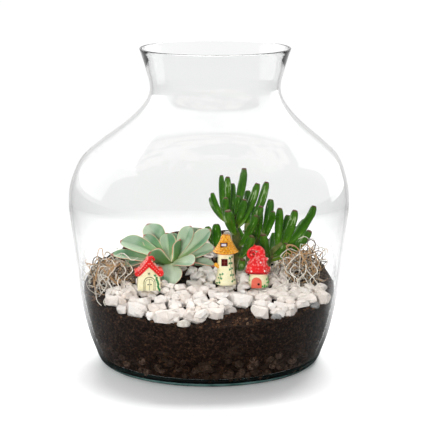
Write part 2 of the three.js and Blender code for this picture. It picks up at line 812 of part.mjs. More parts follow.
const holes = stemHoles();
const soil = holes.reduce((rest, hole) => rest.subtract(hole), soilBody());
const ground = soilBody(GAP);
const leafRoom = rosetteLeaves(2 * GAP).translate(ROSETTE.x, ROSETTE.y, ROSETTE.z);
const pebbleRoom = Object.values(PEBBLES).map((stone) => pebble(stone, 2 * GAP));
const swollen = JADE.right.leaves.map(([foot, tip, width]) => fingerLeaf([foot, tip, width + 4 * GAP]));
const fingerRoom = joined(swollen);

piece(model, "glass_vase", vase(), { color: 0xf4f8f7, roughness: 0.02, transparent: true, opacity: 0.25 });
piece(model, "potting_soil", soil, { color: 0x2b1a12, roughness: 1 });
const bedCutters = [ground, leafRoom, ...holes, ...HOUSES.map(houseRoom), ...pebbleRoom];
piece(model, "white_chippings", gravel(bedCutters), { color: 0xe9e4dc, roughness: 0.85 });
for (const [name, stone] of Object.entries(PEBBLES)) {
  piece(model, name, biggest(pebble(stone).subtract(ground)), { color: stone.color, roughness: 0.7 });
}
piece(model, "rosette_succulent", rosette(), { color: 0x9cc0a8, roughness: 0.55 }).position.set(
  ROSETTE.x,
  ROSETTE.y,
  ROSETTE.z,
);
for (const [side, stem] of Object.entries(JADE)) {
  piece(model, "finger_jade_" + side, jadeStem(stem), { color: 0x2f6b1c, roughness: 0.3 });
}
for (const [side, tuft] of Object.entries(TUFTS)) {
  const clear = biggest(moss(tuft).subtract(ground).subtract(leafRoom).subtract(fingerRoom));
  piece(model, "dry_moss_" + side, clear, { color: 0xb5a78f, roughness: 0.95 });
}
house(TOWER, [
  ["tower_walls", towerWalls(), 0xf3ecc4],
  ["tower_roof", towerRoof(), 0xf39a1c],
]);
house(TOADSTOOL, [
  ["toadstool_walls", toadstoolWalls(), 0xf1ead0],
  ["toadstool_cap", toadstoolCap(), 0xd81414],
]);
house(COTTAGE, [
  ["cottage_walls", cottageWalls(), 0xf3efd2],
  ["cottage_roof", cottageRoof(), 0xd81a1a],
]);

export default model;
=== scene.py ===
"""The looks of the planted glass vase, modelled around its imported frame.

Sizes are in millimetres until set_down turns a piece into metres. Grain and clouds are counted to the metre.
"""

import math
import random
from contextlib import contextmanager

import bmesh
import bpy
import numpy as np
from mathutils import Matrix, Quaternion, Vector, noise


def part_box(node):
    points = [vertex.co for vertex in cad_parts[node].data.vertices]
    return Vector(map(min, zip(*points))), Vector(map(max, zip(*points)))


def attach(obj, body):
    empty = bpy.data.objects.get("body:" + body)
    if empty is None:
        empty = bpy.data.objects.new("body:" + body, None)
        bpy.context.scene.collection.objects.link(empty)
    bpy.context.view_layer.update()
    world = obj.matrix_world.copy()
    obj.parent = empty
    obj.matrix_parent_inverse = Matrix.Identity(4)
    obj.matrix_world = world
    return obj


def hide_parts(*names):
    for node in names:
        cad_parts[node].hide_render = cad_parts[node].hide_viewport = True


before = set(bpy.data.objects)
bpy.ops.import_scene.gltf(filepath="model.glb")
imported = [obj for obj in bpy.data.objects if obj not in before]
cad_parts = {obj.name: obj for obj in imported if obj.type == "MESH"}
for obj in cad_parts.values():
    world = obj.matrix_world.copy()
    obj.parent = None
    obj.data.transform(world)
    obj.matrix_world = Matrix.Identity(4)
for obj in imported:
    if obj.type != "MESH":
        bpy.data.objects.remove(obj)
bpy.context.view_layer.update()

MM = 0.001
UP = Vector((0, 0, 1))
TURN = 2 * math.pi

# ---------- sizes of the part, as in its own source ----------

WALL = 3
FLOOR = 4
HEEL = 8
HEIGHT = 300
LIP = {"thinner": 1.3, "reach": 16}
HAIR = 0.001  # keeps a rounded measure inside the part's own box
# The green edge is an opaque band in the glass's own green tint, painted light in place of the light that
# runs edge-on through the foot.
FOOT_EDGE = 4.4  # height of the green edge that shows round the foot of the glass
LEAN = {"most": 6, "from": 165, "to": 260}
OUTLINE = [
    (0, 100), (4, 105), (12, 108.5), (30, 115.3), (60, 122.3), (102, 127.8), (145, 132.4), (163, 132.6),
    (180, 129), (198, 120.7), (213, 104.2), (228, 85.2), (240, 72.7), (253, 63.4), (264, 61.4), (282, 65.6),
    (HEIGHT, 71.1),
]
SOIL = {"level": 73.7, "slope": 0.158, "bank": 0.000373, "relief": 1.6}
ROSETTE = {"heart": (-37, 6, 92), "stem": 5, "flare": 1.3, "root": 52}
JADE_STEM = {"radius": 5.6, "top": 3.6, "twig": 3.4, "twig_top": 3, "root": 50}
COTTAGE = {"place": (-56, -45, 79), "turn": 6}
TOWER = {"place": (16, -20, 78.4), "turn": 0}
TOADSTOOL = {"place": (47, -20, 75.8), "turn": 0}

# Rosette leaves: tip from the heart, width, upward bow and roll.
ROSETTE_LEAVES = [
    ((-23, 28, 33), 23, -2, -25), ((-4, 16, 26), 17, -2, -10), ((-26, 8, 26), 17, -3, -40),
    ((-49, 4, 21), 21, 4, -38), ((-56, -16, 12), 18, 0, -22), ((-20, -20, 15), 20, -4, 50),
    ((9, -5, 25), 20, -3, 10), ((20, 8, 35), 17, -3, 40), ((30, 28, 28), 24, -2, 20),
    ((39, 2, 32), 19, -3, 40), ((43, -8, 17), 21, -1, 28), ((23, -30, 6), 20, 1, 26),
    ((42, -22, 2), 19, 2, 4), ((1, -31, -16), 24, 6, 0), ((-44, -18, 0), 19, 4, -10),
    ((-42, 38, 9), 21, 1, 0), ((-21, 50, 11), 21, 0, 0), ((14, 47, 15), 21, 0, 0),
    ((42, 26, 12), 19, 1, 0), ((2, 27, 24), 16, -2, 0),
]
SPOON = [
    (0, 0.36), (0.25, 0.52), (0.5, 0.84), (0.7, 1.03), (0.83, 0.97), (0.92, 0.68), (0.975, 0.28), (1, 0.05),
]
LEAF = {"thickness": 3.8, "fold": 0.44}

# Finger-leaved succulent: three stems with their twigs, and each leaf's foot, tip and width.
JADE = {
    "left": {
        "stem": [(29, 13, JADE_STEM["root"]), (29, 13, 84), (28, 13, 104), (25, 15, 120), (18, 20, 134)],
        "twigs": [[(28, 13, 88), (19, 14, 96), (10, 14, 102)], [(25, 15, 119), (25, 17, 129), (26, 19, 138)]],
        "leaves": [
            ((15, 21, 131), (3, 26, 157), 5.5), ((14, 22, 134), (12, 36, 174), 6),
            ((18, 22, 134), (18, 27, 174), 7), ((16, 18, 131), (16, 12, 155), 7),
            ((22, 23, 134), (23, 42, 164), 7), ((25, 20, 136), (34, 24, 182), 8),
            ((24, 17, 135), (28, 10, 157), 6), ((26, 16, 129), (34, 8, 154), 7.5),
            ((25, 12, 119), (18, -6, 146), 10), ((27, 17, 124), (47, 26, 167), 8),
            ((28, 12, 107), (45, 0, 140), 7.5), ((29, 11, 97), (41, -5, 121), 9),
            ((9, 15, 99), (7, 21, 128), 9), ((29, 9, 85), (32, -7, 99), 8),
            ((18, 22, 130), (2, 42, 150), 8), ((24, 20, 128), (28, 48, 148), 8),
            ((12, 16, 103), (-2, 34, 122), 8),
        ],
    },
    "middle": {
        "stem": [(41, 27, JADE_STEM["root"]), (41, 27, 84), (40, 25, 102), (38, 22, 116), (38, 22, 128)],
        "twigs": [[(40, 25, 100), (47, 23, 108), (53, 22, 117)]],
        "leaves": [
            ((39, 22, 124), (56, 34, 167), 8), ((39, 19, 121), (50, 10, 147), 7.5),
            ((45, 22, 109), (49, 17, 142), 8), ((39, 21, 104), (44, 12, 128), 8),
            ((53, 23, 114), (60, 30, 150), 8.5), ((53, 20, 113), (62, 20, 140), 7),
            ((37, 25, 122), (38, 46, 156), 8), ((40, 28, 112), (44, 56, 138), 8.5),
            ((38, 28, 106), (22, 52, 128), 8), ((48, 25, 108), (60, 52, 132), 8),
        ],
    },
    "right": {
        "stem": [(54, 23, JADE_STEM["root"]), (54, 23, 84), (57, 18, 93), (63, 16, 101), (71, 16, 110)],
        "twigs": [],
        "leaves": [
            ((66, 18, 103), (68, 10, 145), 8), ((70, 20, 108), (77, 34, 134), 8),
            ((71, 15, 106), (83, 16, 142), 8.5), ((70, 16, 103), (102, 22, 145), 8.5),
            ((59, 16, 93), (97, 6, 124), 8.5), ((57, 17, 92), (52, 2, 121), 9),
            ((62, 14, 98), (74, 4, 112), 6), ((66, 20, 99), (84, 44, 120), 8.5),
            ((58, 22, 92), (64, 50, 112), 8), ((66, 19, 100), (94, 40, 128), 8),
        ],
    },
}
FINGER = [(0, 0.5), (0.25, 0.82), (0.55, 1), (0.8, 0.95), (0.92, 0.8), (0.97, 0.66), (1, 0.5)]

# Dry moss: middle, half width, half depth and height.
TUFTS = {
    "left": {"x": -92, "y": -8, "half": 25, "depth": 34, "height": 33, "seed": 47},
    "right": {"x": 88, "y": 6, "half": 24, "depth": 33, "height": 37, "seed": 97},
}

# Strands that have come loose from the moss.
LOOSE_STRANDS = {
    "left": [
        [(-92, -12, 98), (-100, -22, 88), (-105, -36, 78), (-103, -54, 71), (-98, -66, 68.5)],
        [(-90, -6, 102), (-81, -14, 106), (-73, -20, 101), (-67, -18, 103)],
        [(-96, -30, 84), (-90, -46, 78), (-96, -60, 72), (-94, -70, 69)],
        [(-84, -16, 98), (-78, -31, 93), (-85, -43, 86), (-80, -56, 78), (-86, -62, 77)],
        [(-92, -14, 100), (-88, -30, 96), (-94, -41, 88), (-88, -52, 80)],
        [(-76, -12, 96), (-72, -26, 92), (-79, -36, 86), (-75, -48, 79)],
        [(-98, -16, 94), (-102, -30, 90), (-95, -44, 83), (-101, -54, 74)],
    ],
    "right": [
        [(80, -16, 88), (72, -38, 83), (58, -54, 81), (47, -60, 80), (52, -66, 79.5), (66, -71, 79),
         (80, -74, 78.5), (90, -66, 79), (92, -46, 84), (86, -26, 92)],
        [(74, -6, 98), (68, -16, 104), (76, -12, 110), (84, -4, 106)],
        [(92, -20, 92), (100, -34, 84), (104, -46, 78), (98, -56, 77)],
        [(70, -18, 92), (67, -32, 91), (74, -43, 86), (70, -54, 81), (78, -60, 79.5)],
        [(82, -18, 97), (76, -36, 94), (84, -47, 86), (80, -58, 80), (72, -64, 80)],
        [(92, -16, 96), (90, -35, 92), (82, -49, 87), (88, -60, 79.5), (96, -59, 78.5)],
        [(66, -12, 90), (63, -28, 88), (69, -38, 83), (65, -50, 81), (71, -60, 80)],
        [(98, -10, 97), (102, -28, 92), (94, -43, 87), (100, -52, 80)],
        [(86, -8, 105), (78, -23, 101), (72, -29, 94), (80, -39, 88), (76, -52, 82)],
        [(90, 4, 106), (96, 6, 114), (92, 2, 119), (86, 6, 116)],
        [(98, 10, 102), (102, 14, 112), (98, 8, 116), (94, 14, 112)],
    ],
}

# Edge of the chippings seen from above, and the bare soil by the foot of each plant.
BED = [
    (-88, -70), (-96, -48), (-80, -26), (-62, -22), (-56, 20), (-76, 50), (-62, 80), (-20, 84), (-4, 112),
    (34, 112), (56, 92), (84, 68), (86, 50), (76, 20), (78, -14), (104, -30), (106, -48), (92, -68),
    (64, -92), (46, -90), (38, -70), (24, -68), (16, -84), (-2, -106), (-24, -110), (-60, -98),
]
BARE = [(-28, -5, 19), (-12, 38, 25), (44, 12, 10), (61, -96, 8), (98, -64, 7), (-22, -114, 8)]
PEBBLES = {
    "grey_pebble_front": {"place": (61, -94), "size": (5, 3.8, 3.2), "turn": 20, "slot": "grey_stone"},
    "grey_pebble_right": {"place": (97, -62), "size": (4.6, 4, 3.4), "turn": -30, "slot": "grey_stone"},
    "cream_pebble": {"place": (-22, -112.5), "size": (6.2, 3.6, 3.8), "turn": 12, "slot": "cream_stone"},
}


def lerp(a, b, t):
    return a + (b - a) * t


def ease(x, low, high):
    """0 at low, 1 at high and beyond, and a smooth step between. Low may be the larger."""
    t = min(max((x - low) / (high - low), 0), 1)
    return t * t * (3 - 2 * t)


def through(pairs, key):
    """A smooth value through (key, value) pairs, with the slope at each pair taken from its neighbours."""
    last = len(pairs) - 1
    i = min(max(next((k for k, p in enumerate(pairs) if p[0] >= key), last), 1), last)

    def slope(k):
        a, b = pairs[max(k - 1, 0)], pairs[min(k + 1, last)]
        return (b[1] - a[1]) / (b[0] - a[0])

    (x0, y0), (x1, y1) = pairs[i - 1], pairs[i]
    span = x1 - x0
    t = (key - x0) / span
    rest = 1 - t
    ends = rest * rest * (1 + 2 * t) * y0 + t * t * (3 - 2 * t) * y1
    return ends + t * rest * span * (rest * slope(i - 1) - t * slope(i))


def outer_radius(z):
    return through(OUTLINE, z)


def inner_radius(z):
    """Inside of the glass: its wall off the outside, rounded into the floor."""
    beyond = min(z + 1, HEIGHT)
    slope = (outer_radius(beyond) - outer_radius(z - 1)) / (beyond - z + 1)
    above = min((z - FLOOR) / HEEL, 1)
    heel = HEEL * (1 - math.sqrt(1 - (1 - above) ** 2))
    return outer_radius(z) - WALL * math.hypot(1, slope) - heel


def lean_at(z):
    return LEAN["most"] * ease(z, LEAN["from"], LEAN["to"])


def soil_level(y):
    return SOIL["level"] + SOIL["slope"] * y + SOIL["bank"] * y * y


def soil_height(x, y):
    ripple = math.sin(x / 9.1 + 1.3) * math.cos(y / 7.7)
    ripple += 0.6 * math.sin(x / 4.3 - y / 5.9) * math.sin(y / 3.9 + 2.1)
    return soil_level(y) + SOIL["relief"] * ripple


def in_bed(x, y):
    """Whether a spot lies inside the edge of the chippings and off the bare soil."""
    if any(math.hypot(x - a, y - b) < r for a, b, r in BARE):
        return False
    crossings = 0
    for (ax, ay), (bx, by) in zip(BED, BED[1:] + BED[:1]):
        if (ay > y) != (by > y) and x < ax + (bx - ax) * (y - ay) / (by - ay):
            crossings += 1
    return crossings % 2 == 1


# ---------- modelling tools ----------


def only(*pieces):
    """Makes these the selected pieces, and the first of them the active one."""
    bpy.ops.object.select_all(action="DESELECT")
    for piece in pieces:
        piece.select_set(True)
    if pieces:
        bpy.context.view_layer.objects.active = pieces[0]


def named(name):
    """Names the active piece, and makes it the only one selected."""
    piece = bpy.context.active_object
    piece.name = name
    piece.data.name = name
    only(piece)
    return piece


def added(name, primitive, **settings):
    """Adds a primitive with nothing else selected, and names it."""
    only()
    primitive(**settings)
    return named(name)


@contextmanager
def editing(piece, everything=True):
    """Edit mode on one piece, with everything or nothing selected at first."""
    only(piece)
    bpy.ops.object.mode_set(mode="EDIT")
    bpy.ops.mesh.select_mode(type="VERT")
    bpy.ops.mesh.select_all(action="SELECT" if everything else "DESELECT")
    yield
    bpy.ops.object.mode_set(mode="OBJECT")


def pick_faces(piece, test):
    """In edit mode, selects only the faces whose normal passes a test."""
    bpy.ops.mesh.select_mode(type="FACE")
    mesh = bmesh.from_edit_mesh(piece.data)
    for face in mesh.faces:
        face.select_set(test(face.normal))
    bmesh.update_edit_mesh(piece.data)


def extrude(way):
    """In edit mode, draws what is selected out along a way."""
    bpy.ops.mesh.extrude_region_move(TRANSFORM_OT_translate={"value": way})


def outward(piece):
    """Turns every face outward."""
    with editing(piece):
        bpy.ops.mesh.normals_make_consistent(inside=False)
    return piece


def mend(piece):
    """Joins doubled points and turns every face outward."""
    with editing(piece):
        bpy.ops.mesh.remove_doubles(threshold=1e-3)
    return outward(piece)


def modified(piece, kind, **settings):
    """Adds one modifier and applies it."""
    only(piece)
    modifier = piece.modifiers.new(kind.title(), kind)
    for key, value in settings.items():
        setattr(modifier, key, value)
    bpy.ops.object.modifier_apply(modifier=modifier.name)
    return piece


def softened(piece, width, segments=2):
    return modified(piece, "BEVEL", width=width, segments=segments, limit_method="ANGLE", angle_limit=0.5)


def rounded(piece, levels=2):
    return modified(piece, "SUBSURF", levels=levels, render_levels=levels)


def smooth(piece, angle=None):
    only(piece)
    if angle is None:
        bpy.ops.object.shade_smooth()
    else:
        bpy.ops.object.shade_smooth_by_angle(angle=math.radians(angle))
    return piece


def reshape(piece, rule):
    """Moves every point of a piece from its place to the place that a rule gives it."""
    for spot in piece.data.vertices:
        spot.co = rule(spot.co.copy())
    piece.data.update()
    return piece


def copied(piece, matrix):
    """A copy with a mesh of its own, moved by a matrix."""
    copy = piece.copy()
    copy.data = piece.data.copy()
    bpy.context.scene.collection.objects.link(copy)
    copy.data.transform(matrix)
    return copy


def discard(*pieces):
    for piece in pieces:
        bpy.data.objects.remove(piece)


def joined(name, pieces):
    """One piece from several, each of which keeps its own finish."""
    only(*pieces)
    bpy.ops.object.join()
    return named(name)


def painted(piece, look):
    """Gives a piece one finish."""
    piece.data.materials.clear()
    piece.data.materials.append(LOOKS[look])
    return piece


def block(name, size, place=(0, 0, 0), edge=0.0):
    """A box with softened edges."""
    piece = added(name, bpy.ops.mesh.primitive_cube_add, size=1)
    with editing(piece):
        bpy.ops.transform.resize(value=size)
        bpy.ops.transform.translate(value=place)
    return softened(piece, edge) if edge else piece


def ball(name, radius, place=(0, 0, 0), fineness=2):
    piece = added(name, bpy.ops.mesh.primitive_ico_sphere_add, subdivisions=fineness, radius=radius)
    with editing(piece):
        bpy.ops.transform.translate(value=place)
    return smooth(piece)


def disc(name, sides, radius=1, **settings):
    """A flat round blank of one face, for a section or an outline."""
    blank = bpy.ops.mesh.primitive_circle_add
    return added(name, blank, vertices=sides, radius=radius, fill_type="NGON", **settings)


def spun(name, outline, steps):
    """A body of revolution: a line drawn point by point through heights and radii, and spun round z."""
    piece = added(name, bpy.ops.mesh.primitive_plane_add, size=1)
    with editing(piece):
        bpy.ops.mesh.merge(type="CENTER")
        z, r = outline[0]
        bpy.ops.transform.translate(value=(r, 0, z))
        for (z0, r0), (z1, r1) in zip(outline, outline[1:]):
            bpy.ops.mesh.extrude_verts_indiv()
            bpy.ops.transform.translate(value=(r1 - r0, 0, z1 - z0))
        bpy.ops.mesh.select_all(action="SELECT")
        bpy.ops.mesh.spin(steps=steps, angle=TURN, center=(0, 0, 0), axis=(0, 0, 1))
    mend(piece)
    return smooth(piece)


def smooth_path(points, steps):
    """Points along a rounded path through the given ones."""
    knots = [Vector(p) for p in points]
    ends = [2 * knots[0] - knots[1], *knots, 2 * knots[-1] - knots[-2]]
    path = []
    for k in range(steps + 1):
        at = (len(knots) - 1) * k / steps
        i = min(int(at), len(knots) - 2)
        t = at - i
        a, b, c, d = ends[i : i + 4]
        bend = (2 * a - 5 * b + 4 * c - d) * t**2
        path.append(0.5 * (2 * b + (c - a) * t + bend + (3 * b - a - 3 * c + d) * t**3))
    return path


def wires(name, paths, radius_at, sides=6):
    """Closed round rods along several paths, made as one curve and turned to a mesh."""
    only()
    bpy.ops.curve.primitive_nurbs_path_add()
    curve = bpy.context.active_object.data
    curve.splines.clear()
    for path in paths:
        spline = curve.splines.new("POLY")
        spline.points.add(len(path) - 1)
        for k, spot in enumerate(path):
            spline.points[k].co = (*spot, 1)
            spline.points[k].radius = radius_at(k / (len(path) - 1))
    curve.dimensions = "3D"
    curve.bevel_depth = 1
    curve.bevel_resolution = sides // 2 - 2
    curve.use_fill_caps = True
    bpy.ops.object.convert(target="MESH")
    piece = named(name)
    mend(piece)
    return smooth(piece)


def sweep(name, points, radius_at, steps=16, sides=10):
    return wires(name, [smooth_path(points, steps)], radius_at, sides)


def drawn_out(name, section, stations):
    """A straight blank along x: a section in y and z, drawn through stations of place, width and depth."""
    piece = disc(name, len(section))
    x, wide, deep = stations[0]
    for spot, (y, z) in zip(piece.data.vertices, section):
        spot.co = (x, y * wide, z * deep)
    with editing(piece):
        for (x0, w0, d0), (x1, w1, d1) in zip(stations, stations[1:]):
            extrude((x1 - x0, 0, 0))
            bpy.ops.transform.resize(value=(1, w1 / w0, d1 / d0), center_override=(x1, 0, 0))
    return outward(piece)


def mark(piece, name, rule):
    """Writes a value for each point, from its place, under a name that the material reads."""
    values = [rule(spot.co) for spot in piece.data.vertices]
    attribute = piece.data.attributes.get(name) or piece.data.attributes.new(name, "FLOAT", "POINT")
    attribute.data.foreach_set("value", np.array(values, np.float32))
    return piece


def strewn(name, models, places, look):
    """One mesh of many copies. Each place is a model's number, a matrix and a tone from 0 to 1."""
    forms = []
    for model in models:
        mesh = model.data
        forms.append((np.array([v.co for v in mesh.vertices]), [tuple(p.vertices) for p in mesh.polygons]))
    spots, faces, tones = [], [], []
    total = 0
    for kind, matrix, tone in places:
        co, polygons = forms[kind]
        m = np.array(matrix)
        spots.append(co @ m[:3, :3].T + m[:3, 3])
        faces += [tuple(i + total for i in polygon) for polygon in polygons]
        tones += [tone] * len(co)
        total += len(co)
    mesh = bpy.data.meshes.new(name)
    mesh.from_pydata(np.concatenate(spots), [], faces)
    mesh.polygons.foreach_set("use_smooth", [models[0].data.polygons[0].use_smooth] * len(faces))
    mesh.attributes.new("tone", "FLOAT", "POINT").data.foreach_set("value", np.array(tones, np.float32))
    discard(*models)
    piece = bpy.data.objects.new(name, mesh)
    bpy.context.scene.collection.objects.link(piece)
    return painted(piece, look)


def set_down(piece, slot, *nodes):
    """A finished piece: in metres, with its place in its mesh, on the body, and standing for its nodes."""
    only(piece)
    piece.scale = (MM, MM, MM)
    bpy.ops.object.transform_apply(location=True, rotation=True, scale=True)
    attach(piece, "root")
    if nodes:
        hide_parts(*nodes)
    return piece


def placed(house, pieces):
    """Sets the pieces of one fairy house down at its place."""
    matrix = Matrix.Translation(house["place"]) @ Matrix.Rotation(math.radians(house["turn"]), 4, "Z")
    for piece in pieces:
        piece.data.transform(matrix)
    return pieces


# ---------- finishes ----------


def node(tree, kind, inputs=None, **settings):
    """Adds a node. A value that is another node's socket is wired, and any other is set."""
    made = tree.nodes.new("ShaderNode" + kind)
    for key, value in settings.items():
        setattr(made, key, value)
    for key, value in (inputs or {}).items():
        if isinstance(value, bpy.types.NodeSocket):
            tree.links.new(value, made.inputs[key])
        else:
            made.inputs[key].default_value = value
    return made


def blend(tree, factor, a, b):
    """Colour a, turning to b with a factor. Each is a colour or a socket."""
    made = node(tree, "Mix", data_type="RGBA")
    for index, value in ((0, factor), (6, a), (7, b)):
        if isinstance(value, bpy.types.NodeSocket):
            tree.links.new(value, made.inputs[index])
        elif index == 0:
            made.inputs[0].default_value = value
        else:
            made.inputs[index].default_value = (*value, 1)
    return made.outputs[2]


def ramp(tree, value, stops):
    """A colour or grey that changes with a value: (place, colour) stops."""
    made = node(tree, "ValToRGB", {"Fac": value})
    elements = made.color_ramp.elements
    elements[0].position, elements[0].color = stops[0][0], (*stops[0][1], 1)
    elements[1].position, elements[1].color = stops[-1][0], (*stops[-1][1], 1)
    for place, colour in stops[1:-1]:
        elements.new(place).color = (*colour, 1)
    return made.outputs["Color"]


def between(tree, value, low, high):
    """0 below low and 1 above high."""
    made = node(tree, "MapRange", {"Value": value, "From Min": low, "From Max": high})
    return made.outputs["Result"]


def sums(tree, kind, a, b=0.5):
    return node(tree, "Math", {0: a, 1: b}, operation=kind).outputs[0]


def part_of(tree, value, share):
    """A value times a number or another value."""
    return sums(tree, "MULTIPLY", value, share)


def attribute(tree, name):
    return node(tree, "Attribute", attribute_name=name).outputs["Fac"]


def places_on(tree):
    return node(tree, "TexCoord").outputs["Object"]


def clouds(tree, scale, detail=4.0, roughness=0.55, places=None):
    inputs = {"Vector": places or places_on(tree), "Scale": scale, "Detail": detail, "Roughness": roughness}
    return node(tree, "TexNoise", inputs).outputs["Fac"]


def group(name, inputs, outputs, build):
    """A shader node group with named inputs and outputs, built once."""
    tree = bpy.data.node_groups.new(name, "ShaderNodeTree")
    for label, kind in inputs:
        tree.interface.new_socket(label, in_out="INPUT", socket_type="NodeSocket" + kind)
    for label, kind in outputs:
        tree.interface.new_socket(label, in_out="OUTPUT", socket_type="NodeSocket" + kind)
    given = tree.nodes.new("NodeGroupInput").outputs
    result = tree.nodes.new("NodeGroupOutput").inputs
    for label, socket in build(tree, given).items():
        tree.links.new(socket, result[label])
    return tree


def grain_group():
    """Fine relief and mottling at a given number of grains to the metre and a given depth."""

    def build(tree, given):
        coarse = clouds(tree, given["Scale"], 3.0)
        fine = clouds(tree, part_of(tree, given["Scale"], 3.7), 2.0)
        height = sums(tree, "ADD", coarse, part_of(tree, fine, 0.45))
        bump = node(tree, "Bump", {"Height": height, "Distance": given["Depth"]})
        return {"Mottle": between(tree, coarse, 0.32, 0.68), "Normal": bump.outputs["Normal"]}

    inputs = [("Scale", "Float"), ("Depth", "Float")]
    return group("grain", inputs, [("Mottle", "Float"), ("Normal", "Vector")], build)


def leaf_group():
    """Where a spot lies on a leaf: along it, how near its rim, on which half, and long streaks."""

    def build(tree, given):
        at = node(tree, "SeparateXYZ", {0: node(tree, "UVMap", uv_map="leaf").outputs[0]}).outputs
        doubled = node(tree, "Math", {0: at["X"], 1: 2.0, 2: -1.0}, operation="MULTIPLY_ADD").outputs[0]
        tone = attribute(tree, "tone")
        x = part_of(tree, sums(tree, "ADD", at["X"], tone), given["Streaks"])
        grid = node(tree, "CombineXYZ", {"X": x, "Y": part_of(tree, at["Y"], 2.0)})
        return {
            "Along": at["Y"],
            "Rim": sums(tree, "ABSOLUTE", doubled),
            "Half": between(tree, at["X"], 0.44, 0.54),
            "Streak": clouds(tree, 1.0, 3.0, 0.6, grid.outputs[0]),
            "Tone": tone,
        }

    outputs = [(label, "Float") for label in ("Along", "Rim", "Half", "Streak", "Tone")]
    return group("leaf zones", [("Streaks", "Float")], outputs, build)


GRAIN = grain_group()
ZONES = leaf_group()


def finish(name, **values):
    """A new material: its tree and its shader, with the plain values set on the shader."""
    material = bpy.data.materials.new(name)
    material.use_nodes = True
    tree = material.node_tree
    shader = tree.nodes["Principled BSDF"]
    for key, value in values.items():
        label = key.replace("_", " ")
        socket = next(s for s in shader.inputs if s.name.lower() == label)
        socket.default_value = (*value, 1) if isinstance(value, tuple) else value
    return material, tree, shader


def colour(tree, shader, socket):
    tree.links.new(socket, shader.inputs["Base Color"])


def grained(tree, shader, scale, depth):
    """Gives a shader the shared grain, and returns its mottling."""
    grain = node(tree, "Group", {"Scale": scale, "Depth": depth}, node_tree=GRAIN).outputs
    tree.links.new(grain["Normal"], shader.inputs["Normal"])
    return grain["Mottle"]


def glossy(tree, shader, value, low, high):
    """Roughness that goes from low to high with a value."""
    rough = node(tree, "MapRange", {"Value": value, "To Min": low, "To Max": high}).outputs["Result"]
    tree.links.new(rough, shader.inputs["Roughness"])


def over(tree, mask, share, face, paint):
    """Lays a paint over a face where a mask is, up to a share of it."""
    return blend(tree, part_of(tree, mask, share), face, paint)


def shown(tree, shader, other, factor):
    """Ends a material in a mix of its shader and another one."""
    mixed = node(tree, "MixShader", {0: factor, 1: shader.outputs[0], 2: other.outputs[0]})
    tree.links.new(mixed.outputs[0], tree.nodes["Material Output"].inputs["Surface"])


def mottled(name, scale, depth, stops, **values):
    """A finish whose colour follows its grain."""
    material, tree, shader = finish(name, **values)
    colour(tree, shader, ramp(tree, grained(tree, shader, scale, depth), stops))
    return material


def toned(name, scale, depth, stops, share, hollow, **values):
    """A finish with a tone for each copy, and a darker paint in the hollows of its grain."""
    material, tree, shader = finish(name, **values)
    mottle = grained(tree, shader, scale, depth)
    base = ramp(tree, attribute(tree, "tone"), stops)
    colour(tree, shader, over(tree, mottle, share, base, hollow))
    return material


def clear_glass():
    """Clear glass that lets light through to what it holds."""
    tint = (0.977, 0.982, 0.980)
    values = {"roughness": 0.0, "ior": 1.46, "transmission_weight": 1.0}
    material, tree, shader = finish("clear glass", base_color=tint, **values)
    light = node(tree, "BsdfTransparent", {"Color": (0.985, 0.99, 0.988, 1)})
    shown(tree, shader, light, node(tree, "LightPath").outputs["Is Shadow Ray"])
    return material


def dark_soil():
    material, tree, shader = finish("dark soil", roughness=0.92, specular_ior_level=0.25)
    mottle = grained(tree, shader, 420.0, 0.0016)
    stops = [(0.0, (0.002, 0.001, 0.001)), (0.5, (0.011, 0.0055, 0.0038)), (1.0, (0.068, 0.034, 0.019))]
    fleck = between(tree, clouds(tree, 700.0, 1.0), 0.72, 0.78)
    colour(tree, shader, blend(tree, fleck, ramp(tree, mottle, stops), (0.14, 0.085, 0.055)))
    return material


def clay():
    material, tree, shader = finish("clay granules", roughness=0.85)
    mottle = grained(tree, shader, 500.0, 0.0005)
    mixed = sums(tree, "ADD", part_of(tree, attribute(tree, "tone"), 0.5), part_of(tree, mottle, 0.6))
    colour(tree, shader, ramp(tree, mixed, [
        (0.0, (0.006, 0.003, 0.002)), (0.5, (0.034, 0.020, 0.013)), (0.8, (0.082, 0.052, 0.037)),
        (1.0, (0.16, 0.105, 0.078)),
    ]))
    return material


def rosette_leaf():
    """Sea-green leaf with a pale bloom and vein, a cream rim edged with red, a darker back, and one half
    painted lighter as painted light.
    """
    material, tree, shader = finish("rosette leaf", specular_ior_level=0.5)
    zones = node(tree, "Group", {"Streaks": 9.0}, node_tree=ZONES).outputs
    along, rim = zones["Along"], zones["Rim"]
    face = ramp(tree, along, [
        (0.0, (0.70, 0.70, 0.20)), (0.16, (0.54, 0.64, 0.19)), (0.38, (0.33, 0.50, 0.21)),
        (0.75, (0.17, 0.34, 0.19)), (1.0, (0.28, 0.42, 0.28)),
    ])
    bloom = between(tree, clouds(tree, 40.0, 2.0), 0.46, 0.62)
    face = over(tree, between(tree, zones["Streak"], 0.44, 0.64), 0.6, face, (0.05, 0.17, 0.09))
    face = over(tree, bloom, 0.58, face, (0.70, 0.79, 0.67))
    face = over(tree, zones["Tone"], 0.36, face, (0.19, 0.37, 0.17))
    # one half of each leaf lightened: painted light on the half that faces the light
    face = over(tree, zones["Half"], 0.42, face, (0.74, 0.82, 0.64))
    face = over(tree, between(tree, rim, 0.10, 0.02), 0.30, face, (0.50, 0.60, 0.40))
    back = ramp(tree, along, [
        (0.0, (0.36, 0.44, 0.12)), (0.3, (0.11, 0.23, 0.05)), (1.0, (0.11, 0.24, 0.11)),
    ])
    face = blend(tree, between(tree, attribute(tree, "under"), 0.3, 0.7), face, back)
    face = blend(tree, between(tree, rim, 0.80, 0.87), face, (0.92, 0.84, 0.56))
    red = between(tree, rim, 0.88, 0.94)
    face = over(tree, red, between(tree, along, 0.25, 0.55), face, (0.74, 0.10, 0.10))
    colour(tree, shader, over(tree, between(tree, along, 0.95, 0.99), 0.9, face, (0.45, 0.05, 0.07)))
    grained(tree, shader, 260.0, 0.00012)
    glossy(tree, shader, bloom, 0.32, 0.55)
    return material


